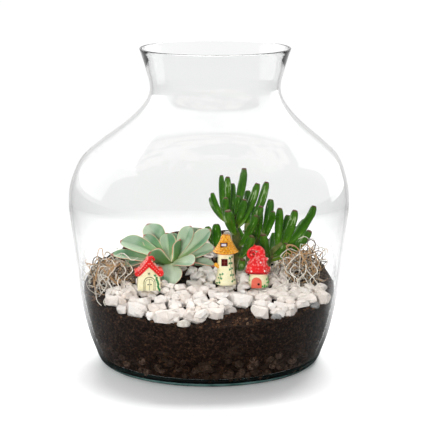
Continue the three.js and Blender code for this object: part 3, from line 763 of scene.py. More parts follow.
def finger_leaf():
    """Glossy deep green with paler streaks and painted highlights, one half in painted shade, a yellow-green
    foot and a maroon tip round a pale dish.
    """
    values = {"specular_ior_level": 0.3, "coat_weight": 0.35, "coat_roughness": 0.05}
    material, tree, shader = finish("finger leaf", **values)
    zones = node(tree, "Group", {"Streaks": 7.0}, node_tree=ZONES).outputs
    along, streak, tone = zones["Along"], zones["Streak"], zones["Tone"]
    face = ramp(tree, along, [
        (0.0, (0.42, 0.54, 0.05)), (0.09, (0.22, 0.38, 0.03)), (0.24, (0.055, 0.21, 0.004)),
        (0.6, (0.026, 0.125, 0.002)), (0.9, (0.034, 0.145, 0.003)), (1.0, (0.05, 0.12, 0.012)),
    ])
    face = over(tree, between(tree, streak, 0.50, 0.66), 0.4, face, (0.15, 0.34, 0.03))
    face = over(tree, between(tree, streak, 0.48, 0.36), 0.7, face, (0.008, 0.050, 0.001))
    face = over(tree, tone, 0.35, face, (0.075, 0.20, 0.004))
    # one half of each leaf darkened: painted shade on its shaded side
    face = over(tree, zones["Half"], 0.5, face, (0.010, 0.060, 0.001))
    # near-white streaks: painted highlights, standing in for glints along the glossy leaf
    face = over(tree, between(tree, streak, 0.60, 0.66), 0.5, face, (0.60, 0.74, 0.42))
    tip = between(tree, along, 0.975, 0.992)
    face = over(tree, tip, between(tree, tone, -0.6, 0.7), face, (0.10, 0.012, 0.020))
    colour(tree, shader, blend(tree, between(tree, along, 1.03, 1.08), face, (0.16, 0.13, 0.06)))
    glossy(tree, shader, grained(tree, shader, 330.0, 0.00005), 0.14, 0.30)
    return material


def glaze(
    name, light, shade, roughness=0.22, scale=260.0, depth=0.00025, amount=0.5, painted_highlight=None, highlight_scale=380.0
):
    """Glossy paint on a cast ornament: a deeper shade where it pools, and pale patches of painted highlight
    where a colour is given for them.
    """
    material, tree, shader = finish(name, roughness=roughness, coat_weight=0.5, coat_roughness=0.1)
    paint = over(tree, grained(tree, shader, scale, depth), amount, light, shade)
    # painted highlight: pale patches of a given colour that stand in for glints on the glaze
    if painted_highlight:
        paint = over(tree, between(tree, clouds(tree, highlight_scale, 2.0), 0.52, 0.60), 0.42, paint, painted_highlight)
    colour(tree, shader, paint)
    return material


LOOKS = {
    "glass": clear_glass(),
    # foot: the glass's green tint as an opaque band, painted light standing in for light seen edge-on through
    # the foot
    "foot": mottled(
        "green glass edge", 60.0, 0.00005, [(0.0, (0.045, 0.11, 0.10)), (1.0, (0.17, 0.29, 0.27))],
        roughness=0.12, ior=1.46,
    ),
    "soil": dark_soil(),
    "crumbs": toned(
        "crumbs of soil", 900.0, 0.0006,
        [(0.0, (0.010, 0.005, 0.0035)), (0.5, (0.058, 0.028, 0.015)), (0.9, (0.18, 0.09, 0.048)),
         (1.0, (0.34, 0.22, 0.14))],
        0.5, (0.012, 0.006, 0.004), roughness=0.9, specular_ior_level=0.25,
    ),
    "clay": clay(),
    "bark": mottled(
        "bark", 650.0, 0.0006, [(0.0, (0.010, 0.006, 0.004)), (1.0, (0.045, 0.026, 0.016))], roughness=0.9
    ),
    "chippings": toned(
        "white chippings", 360.0, 0.0011,
        [(0.0, (0.83, 0.75, 0.69)), (0.4, (0.92, 0.87, 0.83)), (1.0, (0.96, 0.93, 0.90))],
        0.35, (0.78, 0.62, 0.52), roughness=0.78, specular_ior_level=0.4,
    ),
    "grey_stone": mottled(
        "grey pebble", 380.0, 0.00025, [(0.0, (0.20, 0.20, 0.205)), (1.0, (0.42, 0.41, 0.40))], roughness=0.6
    ),
    "cream_stone": mottled(
        "cream pebble", 380.0, 0.00025, [(0.0, (0.62, 0.55, 0.48)), (1.0, (0.82, 0.78, 0.72))], roughness=0.6
    ),
    "rosette": rosette_leaf(),
    "finger": finger_leaf(),
    "stem": mottled(
        "green stem", 240.0, 0.0004,
        [(0.0, (0.07, 0.11, 0.02)), (0.6, (0.17, 0.20, 0.05)), (1.0, (0.22, 0.18, 0.08))], roughness=0.55,
    ),
    "moss": toned(
        "dry moss", 600.0, 0.0003,
        [(0.0, (0.11, 0.08, 0.055)), (0.3, (0.46, 0.38, 0.29)), (0.6, (0.74, 0.66, 0.56)),
         (0.8, (0.94, 0.89, 0.80)), (0.92, (0.66, 0.40, 0.19)), (1.0, (0.66, 0.42, 0.2))],
        0.35, (0.22, 0.17, 0.12), roughness=0.85, specular_ior_level=0.3,
    ),
    "cream": glaze("cream glaze", (0.95, 0.91, 0.64), (0.88, 0.78, 0.36)),
    # orange glaze for the tiles: its pale yellow patches are painted highlights on them
    "orange": glaze(
        "orange glaze", (1.0, 0.52, 0.008), (0.85, 0.22, 0.001), roughness=0.16, scale=700.0, depth=0.0005,
        amount=0.9, painted_highlight=(1.0, 0.90, 0.30), highlight_scale=900.0,
    ),
    # deep orange: where the roof cone shows between the tiles it is painted shade in the gaps; the flat cap
    # wears it too
    "deep_orange": glaze("deep orange glaze", (0.74, 0.24, 0.01), (0.50, 0.12, 0.005)),
    "red": glaze("red glaze", (0.86, 0.014, 0.012), (0.46, 0.004, 0.006)),
    "deep_red": glaze("deep red glaze", (0.42, 0.006, 0.008), (0.22, 0.003, 0.004)),
    # toadstool red: its pale pink patches are painted highlights, a painted sheen on the cap
    "cap": glaze("toadstool red", (0.92, 0.018, 0.020), (0.62, 0.006, 0.010), painted_highlight=(1.0, 0.42, 0.40)),
    # pale balls on the cap's knobs: painted highlights that stand in for glints
    "knob_highlight": glaze("pale dots", (0.98, 0.84, 0.80), (0.94, 0.62, 0.58)),
    "brown": glaze("red-brown paint", (0.20, 0.045, 0.03), (0.12, 0.02, 0.016)),
    "red_dots": glaze("pale dots on red", (0.98, 0.55, 0.48), (0.90, 0.20, 0.16)),
    "maroon": glaze("maroon paint", (0.10, 0.006, 0.006), (0.05, 0.003, 0.004)),
    "pane": glaze("window pane", (0.82, 0.77, 0.82), (0.60, 0.48, 0.54)),
    "coral": glaze("coral paint", (0.86, 0.17, 0.11), (0.74, 0.09, 0.05), roughness=0.4),
    "ivy": glaze("ivy paint", (0.03, 0.27, 0.08), (0.010, 0.12, 0.04)),
    "light_ivy": glaze("light ivy paint", (0.03, 0.46, 0.06), (0.02, 0.28, 0.05)),
    "line": glaze("olive line paint", (0.30, 0.28, 0.15), (0.16, 0.15, 0.08)),
    "dark": glaze("dark paint", (0.02, 0.018, 0.016), (0.008, 0.007, 0.006)),
}


# ---------- glass ----------


def lip_thinning(z):
    """How much the wall has thinned by a height near the fire-polished lip."""
    return LIP["thinner"] * ease(z, HEIGHT - LIP["reach"], HEIGHT)


def glass_vase():
    """The blown vase: its wall and thicker base, its rounded lip, and its neck a little to one side."""
    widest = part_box("glass_vase")[1].y / MM - HAIR
    steps, turns = 72, 144
    levels = [HEIGHT * k / steps for k in range(1, steps)]
    outside = [(0, outer_radius(0) - 0.8), (0.5, outer_radius(0.5))]
    outside += [(z, min(outer_radius(z), widest)) for z in [2, *levels] if z < HEIGHT - 1]
    hollow = [z for z in reversed(levels) if FLOOR + HEEL < z < HEIGHT - 1]
    inside = [(z, inner_radius(z) + lip_thinning(z)) for z in hollow]
    heel = [FLOOR + HEEL * (1 - math.sin(math.pi / 2 * k / 8)) for k in range(9)]
    inside += [(z, inner_radius(z)) for z in heel]
    inner, outer = inner_radius(HEIGHT) + lip_thinning(HEIGHT), outer_radius(HEIGHT)
    half = (outer - inner) / 2
    arcs = [math.pi * k / 8 for k in range(9)]
    centre = HEIGHT - HAIR - half
    lip = [(centre + half * math.sin(a), inner + half + half * math.cos(a)) for a in arcs]
    piece = spun("glass_vase", [(0, 0), *outside, *lip, *inside, (FLOOR, 0)], turns)
    reshape(piece, lambda p: Vector((p.x + lean_at(p.z), p.y, p.z)))
    painted(piece, "glass")
    # the foot's faces get the opaque green band: painted light in place of light running through the foot
    piece.data.materials.append(LOOKS["foot"])
    for face in piece.data.polygons:
        if face.center.z < FOOT_EDGE and face.normal.z > -0.9:
            face.material_index = 1
    set_down(piece, "clear_glass", "glass_vase")


# ---------- soil ----------

SOIL_CLEAR = 0.45  # between the soil and the glass
CRUMBS = {"on top": 3000, "at the glass": 3400}
GRANULES = 190
BARK_BITS = 46


def brim_at(angle):
    """Height at which the plain soil surface meets the glass."""
    z = SOIL["level"]
    for _ in range(6):
        z = soil_level((inner_radius(z) - SOIL_CLEAR) * math.sin(angle))
    return z


def potting_soil():
    """The body of soil: pitted where it lies against the glass, and lumpy on top."""
    bottom = FLOOR + 0.3
    up, inward, turns = 34, 30, 220
    side = [(k / up, 1) for k in range(up + 1)]
    top = [(2, 1 - (k / inward) ** 1.1) for k in range(1, inward + 1)]
    piece = spun("potting_soil", [(0, 0), (0, 0.5), *side, *top], turns)
    brims = {}

    def settle(p):
        radius = math.hypot(p.x, p.y)
        if radius < 1e-6:
            return Vector((0, 0, bottom if p.z < 1 else soil_height(0, 0)))
        angle = round(math.atan2(p.y, p.x), 5)
        brim = brims.setdefault(angle, brim_at(angle))
        if p.z <= 1:
            z = lerp(bottom, brim, p.z)
            spot = Vector((math.cos(angle), math.sin(angle), z / 60))
            pit = noise.fractal(spot * 16, 0.8, 2.2, 4) * 1.6 + noise.noise(spot * 42) * 0.7
            pit = max(pit + 0.8, 0) + 2.6 * ease(z, 40, 18)
            reach = (inner_radius(z) - SOIL_CLEAR - 0.4 - pit * min(p.z * 8, 1)) * radius
            return Vector((reach * math.cos(angle), reach * math.sin(angle), z))
        reach = (inner_radius(brim) - SOIL_CLEAR - 0.4) * radius
        x, y = reach * math.cos(angle), reach * math.sin(angle)
        lump = noise.fractal(Vector((x, y, 0)) * 0.14, 0.8, 2.1, 4) * 1.5
        return Vector((x, y, soil_height(x, y) + lump * min((1 - radius) * 12, 1)))

    reshape(piece, settle)
    painted(piece, "soil")
    set_down(piece, "soil", "potting_soil")


def crumb_models():
    """Four angular crumbs, each cut from a small ball."""
    draw = random.Random(31)
    models = []
    for k in range(4):
        crumb = ball(f"crumb_{k}", 1, fineness=1)
        reshape(crumb, lambda p: p * draw.uniform(0.7, 1.25))
        with editing(crumb):
            bpy.ops.transform.resize(value=(1.25, 0.9, 0.75))
        models.append(crumb)
    return models


def sized(size):
    return Matrix.Diagonal((size, size, size, 1))


def tumble(draw, place, size, flat=math.pi):
    """A matrix that turns a model any way, up to a tilt, and sets it at a place."""
    turned = Matrix.Rotation(draw.uniform(0, TURN), 4, "Z")
    tilt = draw.uniform(-flat, flat)
    axis = Vector((math.cos(draw.uniform(0, TURN)), math.sin(draw.uniform(0, TURN)), 0))
    return Matrix.Translation(place) @ turned @ Matrix.Rotation(tilt, 4, axis) @ sized(size)


def at_glass(angle, z, room):
    """A place in the side of the soil, with room between it and the glass."""
    reach = inner_radius(z) - SOIL_CLEAR - room
    return (reach * math.cos(angle), reach * math.sin(angle), z)


def soil_crumbs():
    """Loose crumbs on the soil, and pressed against the glass."""
    draw = random.Random(7)
    models = crumb_models()
    places = []
    while len(places) < CRUMBS["on top"]:
        angle, part = draw.uniform(0, TURN), math.sqrt(draw.random())
        reach = (inner_radius(brim_at(angle)) - 2.6) * part
        x, y = reach * math.cos(angle), reach * math.sin(angle)
        if in_bed(x, y) and draw.random() < 0.85:
            continue
        size = 0.5 + 1.5 * draw.random() ** 2.2
        place = (x, y, soil_height(x, y) + 0.3 + 0.4 * draw.random())
        places.append((draw.randrange(4), tumble(draw, place, size), draw.random()))
    for _ in range(CRUMBS["at the glass"]):
        angle = draw.uniform(0, TURN)
        z = lerp(FLOOR + 3, brim_at(angle) - 0.5, draw.random())
        size = 0.45 + 1.35 * draw.random() ** 2.5
        place = at_glass(angle, z, 1.25 * size)
        places.append((draw.randrange(4), tumble(draw, place, size), 0.72 * draw.random() ** 2))
    set_down(strewn("soil_crumbs", models, places, "crumbs"), "soil")


def clay_granules():
    """Round clay granules in the lower soil, most of them against the glass."""
    draw = random.Random(19)
    models = []
    for k in range(3):
        shift = Vector((7 * k, 0, 0))
        granule = ball(f"granule_{k}", 1, fineness=3)
        reshape(granule, lambda p: p * (1 + 0.10 * noise.noise(p * 1.7 + shift) + 0.03 * noise.noise(p * 6)))
        with editing(granule):
            bpy.ops.transform.resize(value=(1.05, 0.98, 0.86))
        models.append(granule)
    places = []
    for _ in range(GRANULES):
        angle = draw.uniform(0, TURN)
        size = draw.uniform(2.4, 5.4)
        z = FLOOR + 1 + size + 20 * draw.random() ** 1.6
        place = at_glass(angle, z, size * 1.02 + 0.2)
        places.append((draw.randrange(3), tumble(draw, place, size), draw.random()))
    set_down(strewn("clay_granules", models, places, "clay"), "soil")


def bark_pieces():
    """Bits of bark: flat, and lying along the glass."""
    draw = random.Random(23)
    model = block("bark_model", (1, 0.28, 0.16))
    with editing(model):
        bpy.ops.mesh.subdivide(number_cuts=2)
    reshape(model, lambda p: p + Vector((0, 0.10 * p.x * p.x, 0)) + 0.05 * noise.noise_vector(p * 5))
    softened(model, 0.02, 1)
    places = []
    for _ in range(BARK_BITS):
        angle = draw.uniform(0, TURN)
        z = FLOOR + 6 + 44 * draw.random()
        length = draw.uniform(6, 17)
        place = at_glass(angle, z, 0.16 * length + 0.6)
        lie = Matrix.Rotation(angle + math.pi / 2, 4, "Z") @ Matrix.Rotation(draw.uniform(-0.8, 0.8), 4, "Y")
        places.append((0, Matrix.Translation(place) @ lie @ sized(length), 0.5))
    set_down(strewn("bark_pieces", [model], places, "bark"), "soil")


# ---------- chippings ----------

GRID = 264  # millimetres across the map of heights that the stones settle on
STONES = {"models": 9, "cuts": 17, "large": 330, "all": 600}
TRIES = 16  # places tried for each stone
SINK = 1.9  # how deep a stone settles between its neighbours
# The ground under each house, kept free of loose stones: its place and radius.
SEATS = [(TOWER["place"], 10.4), (TOADSTOOL["place"], 9.9), (COTTAGE["place"], 11.2)]


def chipping_model(name, seed):
    """A crushed stone: a block split on all sides by flat cuts, as deep as its girth that way allows."""
    draw = random.Random(seed)
    girth = Vector((1, draw.uniform(0.62, 0.9), draw.uniform(0.44, 0.62)))
    stone = block(name, 2 * girth)
    for _ in range(STONES["cuts"]):
        way = Vector((draw.gauss(0, 1), draw.gauss(0, 1), draw.gauss(0, 1))).normalized()
        reach = Vector((way.x * girth.x, way.y * girth.y, way.z * girth.z)).length * draw.uniform(0.76, 1.0)
        with editing(stone):
            bpy.ops.mesh.bisect(plane_co=way * reach, plane_no=way, use_fill=True, clear_outer=True)
    mend(stone)
    return stone, [(p.normal.copy(), p.center.copy()) for p in stone.data.polygons]


class Heights:
    """A map of heights, a millimetre to a square, that stones settle on one by one."""

    def __init__(self):
        axis = np.arange(GRID) - GRID / 2 + 0.5
        self.x, self.y = np.meshgrid(axis, axis)
        self.z = np.vectorize(soil_height)(self.x, self.y)

    def window(self, x, y, reach):
        low = [max(int(v - reach + GRID / 2), 0) for v in (y, x)]
        high = [min(int(v + reach + GRID / 2) + 1, GRID) for v in (y, x)]
        return slice(low[0], high[0]), slice(low[1], high[1])

    def stone(self, planes, matrix, reach):
        """Underside and top of a stone over the map's squares, about its own middle height."""
        part = self.window(matrix.translation.x, matrix.translation.y, reach)
        xs, ys = self.x[part], self.y[part]
        under, over = np.full(xs.shape, -1e3), np.full(xs.shape, 1e3)
        turn = matrix.to_3x3()
        for normal, centre in planes:
            n = (turn @ normal).normalized()
            c = matrix @ centre
            if abs(n.z) < 0.02:
                continue
            z = c.z - (n.x * (xs - c.x) + n.y * (ys - c.y)) / n.z
            if n.z > 0:
                over = np.minimum(over, z)
            else:
                under = np.maximum(under, z)
        return part, under, over, over > under


def white_chippings():
    """Stones dropped one by one, each of them into the lowest of the places tried for it."""
    draw = random.Random(2024)
    made = [chipping_model(f"chipping_{k}", 60 + k) for k in range(STONES["models"])]
    ground = Heights()
    blocked = np.zeros(ground.z.shape, bool)
    for (x, y, _), room in SEATS:
        blocked |= np.hypot(ground.x - x, ground.y - y) < room
    places = []

    def headroom(x, y):
        """How far above the soil a stone may stand there: less before the doors of the houses."""
        for (a, b, z), room in SEATS:
            if abs(x - a) < room + 3 and b - 30 < y < b:
                return z - soil_level(y) + 0.6
        return 12.5 if y < 60 else 6

    def try_at(x, y, size, flat):
        kind = draw.randrange(len(made))
        matrix = tumble(draw, (x, y, 0), size, flat)
        part, under, over, covered = ground.stone(made[kind][1], matrix, 1.5 * size)
        if not covered.any() or (blocked[part] & covered).any():
            return None
        rest = float((ground.z[part] - under)[covered].max()) - SINK
        crown = float(over[covered].max()) + rest - soil_level(y)
        return rest, crown, kind, matrix, part, over, covered

    def lay(found):
        rest, _, kind, matrix, part, over, covered = found
        matrix.translation.z = rest
        ground.z[part] = np.where(covered, np.maximum(ground.z[part], over + rest), ground.z[part])
        places.append((kind, matrix, draw.random()))

    for (x, y, z), room in SEATS:
        for k in range(4):
            angle = TURN * k / 4 + 0.5
            matrix = tumble(draw, (x + 5 * math.cos(angle), y + 5 * math.sin(angle), z - 4.4), 5.2, 0.12)
            places.append((k, matrix, draw.random()))
    spots = [(x, y) for x in range(-108, 109, 2) for y in range(-114, 114, 2) if in_bed(x, y)]
    for stone in range(STONES["all"]):
        size = draw.uniform(6.4, 12.2) if stone < STONES["large"] else draw.uniform(4, 6.8)
        tries = []
        for _ in range(TRIES):
            x, y = draw.choice(spots)
            found = try_at(x + draw.uniform(-1, 1), y + draw.uniform(-1, 1), size, 0.5)
            if found and found[1] < headroom(x, y):
                tries.append(found)
        if tries:
            lay(min(tries, key=lambda found: found[1]))
    piece = strewn("white_chippings", [model for model, _ in made], places, "chippings")
    set_down(piece, "white_stone", "white_chippings")


def pebbles():
    for name, stone in PEBBLES.items():
        piece = ball(name, 1, fineness=4)
        reshape(piece, lambda p: p * (1 + 0.05 * noise.noise(p * 1.4)))
        x, y = stone["place"]
        place = Matrix.Translation((x, y, soil_level(y) + 2.4))
        turn = Matrix.Rotation(math.radians(stone["turn"]), 4, "Z")
        piece.data.transform(place @ turn @ Matrix.Diagonal((*stone["size"], 1)))
        set_down(painted(piece, stone["slot"]), stone["slot"], name)


# ---------- leaves ----------


def leaf_map(piece, across, along):
    """The leaf's own map: how far across and how far along it each point lies."""
    layer = piece.data.uv_layers.get("leaf") or piece.data.uv_layers.new(name="leaf")
    for loop in piece.data.loops:
        spot = piece.data.vertices[loop.vertex_index].co
        layer.data[loop.index].uv = (across(spot), along(spot))


def spoon_blank():
    """A straight spoon-shaped leaf, one unit long, hollowed on top and keeled below."""
    section = [
        (-1, 0), (-0.55, 0.30), (0, 0.14), (0.55, 0.30), (1, 0), (0.5, -0.55), (0, -0.84), (-0.5, -0.55),
    ]
    places = [0, 0.08, 0.2, 0.34, 0.48, 0.6, 0.7, 0.79, 0.87, 0.93, 0.97, 1.0]
    stations = [(t, through(SPOON, t), 1 - 0.55 * t - (0.25 if t == 1 else 0)) for t in places]
    blank = drawn_out("spoon_blank", section, stations)
    leaf_map(blank, lambda p: 0.5 + 0.5 * p.y / max(through(SPOON, p.x), 0.1), lambda p: p.x)
    mark(blank, "under", lambda p: 1.0 if p.z < -0.04 else 0.0)
    rounded(blank, 2)
    return smooth(blank)


def spoon_leaf(blank, leaf, tone):
    """One rosette leaf in its place, bowed, cupped and gently waved."""
    tip, width, bow, roll = leaf
    reach, half = Vector(tip), 1.08 * width / 2
    along = reach.normalized()
    across = Quaternion(along, math.radians(roll)) @ UP.cross(reach).normalized()
    over = reach.cross(across).normalized()
    wave = Vector((tone * 40, 0, 0))

    def rule(p):
        rise = 4 * bow * p.x * (1 - p.x) + LEAF["thickness"] * p.z
        rise += LEAF["fold"] * half * abs(p.y) ** 1.5
        rise += 1.4 * noise.noise(Vector((p.x * 3.2, p.y * 1.2, 0)) + wave) * p.x
        return Vector(ROSETTE["heart"]) + reach * p.x + across * (p.y * half) + over * rise

    return mark(reshape(copied(blank, Matrix()), rule), "tone", lambda p: tone)


def rosette_succulent():
    draw = random.Random(5)
    blank = spoon_blank()
    leaves = [painted(spoon_leaf(blank, leaf, draw.random()), "rosette") for leaf in ROSETTE_LEAVES]
    x, y, z = ROSETTE["heart"]
    stem = ROSETTE["stem"]
    course = [(x, y, level) for level in (ROSETTE["root"], z - 16, z + 2)]
    stalk = sweep("stalk", course, lambda t: lerp(stem, stem * ROSETTE["flare"], ease(t, 0.6, 1)))
    discard(blank)
    piece = joined("rosette_succulent", [*leaves, painted(stalk, "stem")])
    set_down(piece, "rosette_leaf", "rosette_succulent")


def finger_blank():
    """A straight finger leaf, one unit long, whose blunt tip is a shallow dish with a rolled rim."""
    sides = 10
    section = [(math.cos(TURN * k / sides), math.sin(TURN * k / sides)) for k in range(sides)]
    places = [0, 0.06, 0.16, 0.3, 0.46, 0.62, 0.76, 0.86, 0.93, 0.97, 0.995]
    stations = [(t, through(FINGER, t), through(FINGER, t)) for t in places]
    dish = [(1.003, 0.42, 0.42), (0.992, 0.28, 0.28), (0.98, 0.10, 0.10)]
    blank = drawn_out("finger_blank", section, stations + dish)
    rims = {round(x, 3): 1 + 0.06 * k for k, (x, _, _) in enumerate(dish, 1)}

    def along(p):
        inner = math.hypot(p.y, p.z) < 0.44
        return rims.get(round(p.x, 3), p.x) if inner and p.x > 0.9 else p.x

    leaf_map(blank, lambda p: 0.5 + math.atan2(p.y, p.z) / TURN, along)
    rounded(blank, 2)
    return smooth(blank)


def bent_finger(blank, leaf, tone):
    """One finger leaf in its place, a little bowed outward and a little flattened."""
    foot, tip, width = Vector(leaf[0]), Vector(leaf[1]), leaf[2]
    out = Vector((tip.x - foot.x, tip.y - foot.y, 0)) * 0.12
    middle = foot.lerp(tip, 0.5) + out - UP * out.length * 0.5
    side = (tip - foot).cross(Vector((0.2, 1, 0.1))).normalized()

    def rule(p):
        t = p.x
        a, b, c = (1 - t) * (1 - 2 * t), 4 * t * (1 - t), t * (2 * t - 1)
        spot = foot * a + middle * b + tip * c
        course = foot * (4 * t - 3) + middle * (4 - 8 * t) + tip * (4 * t - 1)
        face = course.cross(side).normalized()
        edge = face.cross(course).normalized()
        return spot + (edge * p.y + face * p.z * 0.88) * (1.1 * width / 2)

    return mark(reshape(copied(blank, Matrix()), rule), "tone", lambda p: tone)


def finger_jade():
    draw = random.Random(11)
    blank = finger_blank()
    for side, plant in JADE.items():
        name = "finger_jade_" + side
        parts = [painted(bent_finger(blank, leaf, draw.random()), "finger") for leaf in plant["leaves"]]
        stem = sweep("stem", plant["stem"], lambda t: lerp(JADE_STEM["radius"], JADE_STEM["top"], t), 20, 14)
        parts.append(painted(stem, "stem"))
        for course in plant["twigs"]:
            twig = sweep("twig", course, lambda t: lerp(JADE_STEM["twig"], JADE_STEM["twig_top"], t), 10, 12)
            parts.append(painted(twig, "stem"))
        set_down(joined(name, parts), "jade_leaf", name)
    discard(blank)


# ---------- dry moss ----------

# Thickness and number of the strands, and the tones that they are painted in, in turn.
STRANDS = [(0.68, 46), (0.5, 46), (0.32, 26)]
STRAND_TONES = (0.02, 0.45, 0.80, 0.93)


def toss(draw, low=-1, high=1):
    """A way drawn at random, whose upward part lies between these limits."""
    return Vector((draw.uniform(-1, 1), draw.uniform(-1, 1), draw.uniform(low, high)))


def wander(tuft, draw):
    """A wiry strand that wanders through the tuft, curling back where it strays from it."""
    heart = Vector((tuft["x"], tuft["y"], soil_level(tuft["y"]) - 1))
    girth = Vector((tuft["half"], tuft["depth"], tuft["height"]))
    turn, rise = draw.uniform(0, TURN), draw.uniform(0, 1.4)
    start = Vector((math.cos(turn) * math.cos(rise), math.sin(turn) * math.cos(rise), math.sin(rise)))
    spot = heart + girth * start * draw.uniform(0.25, 0.85) ** 0.7
    way = toss(draw, -0.3, 0.9).normalized()
    reach = draw.choice((0.86, 0.95, 1.0, 1.18))
    axis = toss(draw).normalized()
    points = []
    for _ in range(draw.randint(7, 15)):
        points.append(spot.copy())
        axis = (axis + 0.55 * toss(draw)).normalized()
        way = Quaternion(axis, draw.uniform(0.1, 0.62)) @ way
        part = Vector((spot - heart)[k] / girth[k] for k in range(3))
        if part.length > reach:
            way = (way - part.normalized() * 0.9).normalized()
        spot = spot + way * draw.uniform(3.4, 5.6)
        spot.z = max(spot.z, soil_level(spot.y) + 1.0)
        room = (inner_radius(spot.z) - 2) / max(math.hypot(spot.x, spot.y), 1)
        if room < 1:
            spot.x, spot.y = spot.x * room, spot.y * room
    return smooth_path(points, 3 * (len(points) - 1))


def bundle(name, paths, thickness, taper, tone):
    """Strands of one thickness and tone."""
    strands = wires(name, paths, lambda t: thickness * (1 - taper * t), 6)
    return painted(mark(strands, "tone", lambda p: tone), "moss")


def dry_moss(side):
    """A tangle of wandering strands, thick and thin, with the loose ones that trail off it."""
    name, tuft = "dry_moss_" + side, TUFTS[side]
    draw = random.Random(tuft["seed"])
    bundles = []
    for thickness, number in STRANDS:
        paths = [wander(tuft, draw) for _ in range(number)]
        for k, tone in enumerate(STRAND_TONES):
            bundles.append(bundle("strands", paths[k :: len(STRAND_TONES)], thickness, 0.45, tone))
    loose = [smooth_path(points, 5 * len(points)) for points in LOOSE_STRANDS[side]]
    bundles.append(bundle("loose", loose, 0.52, 0.4, 0.8))
    set_down(joined(name, bundles), "dry_moss", name)


# ---------- fairy houses ----------


def ivy_leaf():
    """A small three-pointed leaf, slightly domed, facing up."""
    reach = (1.25, 0.7, 0.95, 0.62, 0.75, 0.75, 0.62, 0.95, 0.7)
    leaf = disc("ivy_leaf", len(reach))
    for spot, r in zip(leaf.data.vertices, reach):
        spot.co = spot.co * r
    with editing(leaf):
        extrude((0, 0, 0.22))
        bpy.ops.mesh.inset(thickness=0.16, depth=0.12)
    return smooth(outward(leaf), 40)


def on_wall(radius_at, x, z, lift=0.0, turn=0.0):
    """A place on the front of a round wall, facing out: x to the side and z up."""
    radius = radius_at(z)
    angle = math.asin(max(min(x / radius, 0.98), -0.98))
    out = Vector((math.sin(angle), -math.cos(angle), 0))
    across = Vector((math.cos(angle), math.sin(angle), 0))
    axes = Matrix((across, UP, out)).transposed().to_4x4()
    return Matrix.Translation(out * (radius + lift) + UP * z) @ axes @ Matrix.Rotation(turn, 4, "Z")


def vine(radius_at, points, size, look):
    """A painted vine in low relief: a thin stem with a leaf at each point, turned to either side."""
    leaf = ivy_leaf()
    pieces = []
    for k, (x, z) in enumerate(points):
        for side in (-1, 1):
            height = z + 0.25 * side * (-1) ** k
            matrix = on_wall(radius_at, x + side * 0.9 * size, height, -0.06, math.pi / 2 - side * 1.1)
            pieces.append(copied(leaf, matrix @ sized(size)))
    discard(leaf)
    spine = [on_wall(radius_at, x, z).translation for x, z in points]
    pieces.append(sweep("vine_stem", spine, lambda t: 0.28, 4 * len(points), 6))
    return [painted(piece, look) for piece in pieces]


def arch(name, half, height, depth, place):
    """A round-topped panel that stands on its foot and faces the front."""
    panel = disc(name, 28, half, rotation=(math.pi / 2, 0, 0))
    bpy.ops.object.transform_apply(location=True, rotation=True, scale=True)

    def stand(p):
        """Lifts the upper half of the disc to the crown, and squares the lower half off at the foot."""
        if p.z > -1e-4:
            return Vector((p.x, 0, p.z + height - half))
        return Vector((math.copysign(half, p.x) if abs(p.x) > 0.2 * half else p.x, 0, 0))

    reshape(panel, stand)
    with editing(panel):
        bpy.ops.mesh.remove_doubles(threshold=1e-3)
        extrude((0, -depth, 0))
        bpy.ops.mesh.select_all(action="SELECT")
        bpy.ops.transform.translate(value=place)
    return outward(panel)


def arch_line(x, half, height, y, foot, turns=12):
    """Points round the edge of a round-topped opening."""
    shoulder = height - half
    angles = [math.pi * k / turns for k in range(turns + 1)]
    crown = [(x - half * math.cos(a), y, shoulder + half * math.sin(a)) for a in angles]
    left = [(x - half, y, foot), (x - half, y, 0.5 * shoulder)]
    right = [(x + half, y, 0.5 * shoulder), (x + half, y, foot)]
    return left + crown + right


def prism(name, outline, depth):
    """A flat outline in x and z, thick along y and centred on it."""
    piece = disc(name, len(outline))
    for spot, (x, z) in zip(piece.data.vertices, outline):
        spot.co = (x, depth / 2, z)
    with editing(piece):
        extrude((0, -depth, 0))
    return outward(piece)


def window(name, size, place, pane, bars=None):
    """A framed window: a block whose front is sunk, with its pane, and crossed bars if they have a look."""
    wide, deep, high = size
    surround = block(name, size, place)
    with editing(surround):
        pick_faces(surround, lambda normal: normal.y < -0.9)
        bpy.ops.mesh.inset(thickness=0.16 * wide)
        extrude((0, 0.7, 0))
    softened(surround, 0.18)
    x, y, z = place
    front = y - deep / 2
    glazing = block(name + "_pane", (0.66 * wide, 0.12, high - 0.34 * wide), (x, front + 0.55, z), 0.04)
    pieces = [painted(surround, "maroon"), painted(glazing, pane)]
    if bars:
        for across, up in ((0.1 * wide, high - 0.3 * wide), (0.68 * wide, 0.1 * wide)):
            bar = block(name + "_bar", (across, 0.3, up), (x, front + 0.4, z), 0.08)
            pieces.append(painted(bar, bars))
    return pieces


# ---------- tower ----------

TOWER_SIZE = {"waist": 7.4, "wall": 29.5, "eaves": 11.5, "top": 3.3, "height": 46.4}
TOWER_WALL = [(0, 10.2), (2.5, 10), (9, 8.6), (18, 8), (29.5, 7.4)]
TILE_ROWS = 8


def tower_wall_radius(z):
    return through(TOWER_WALL, z)


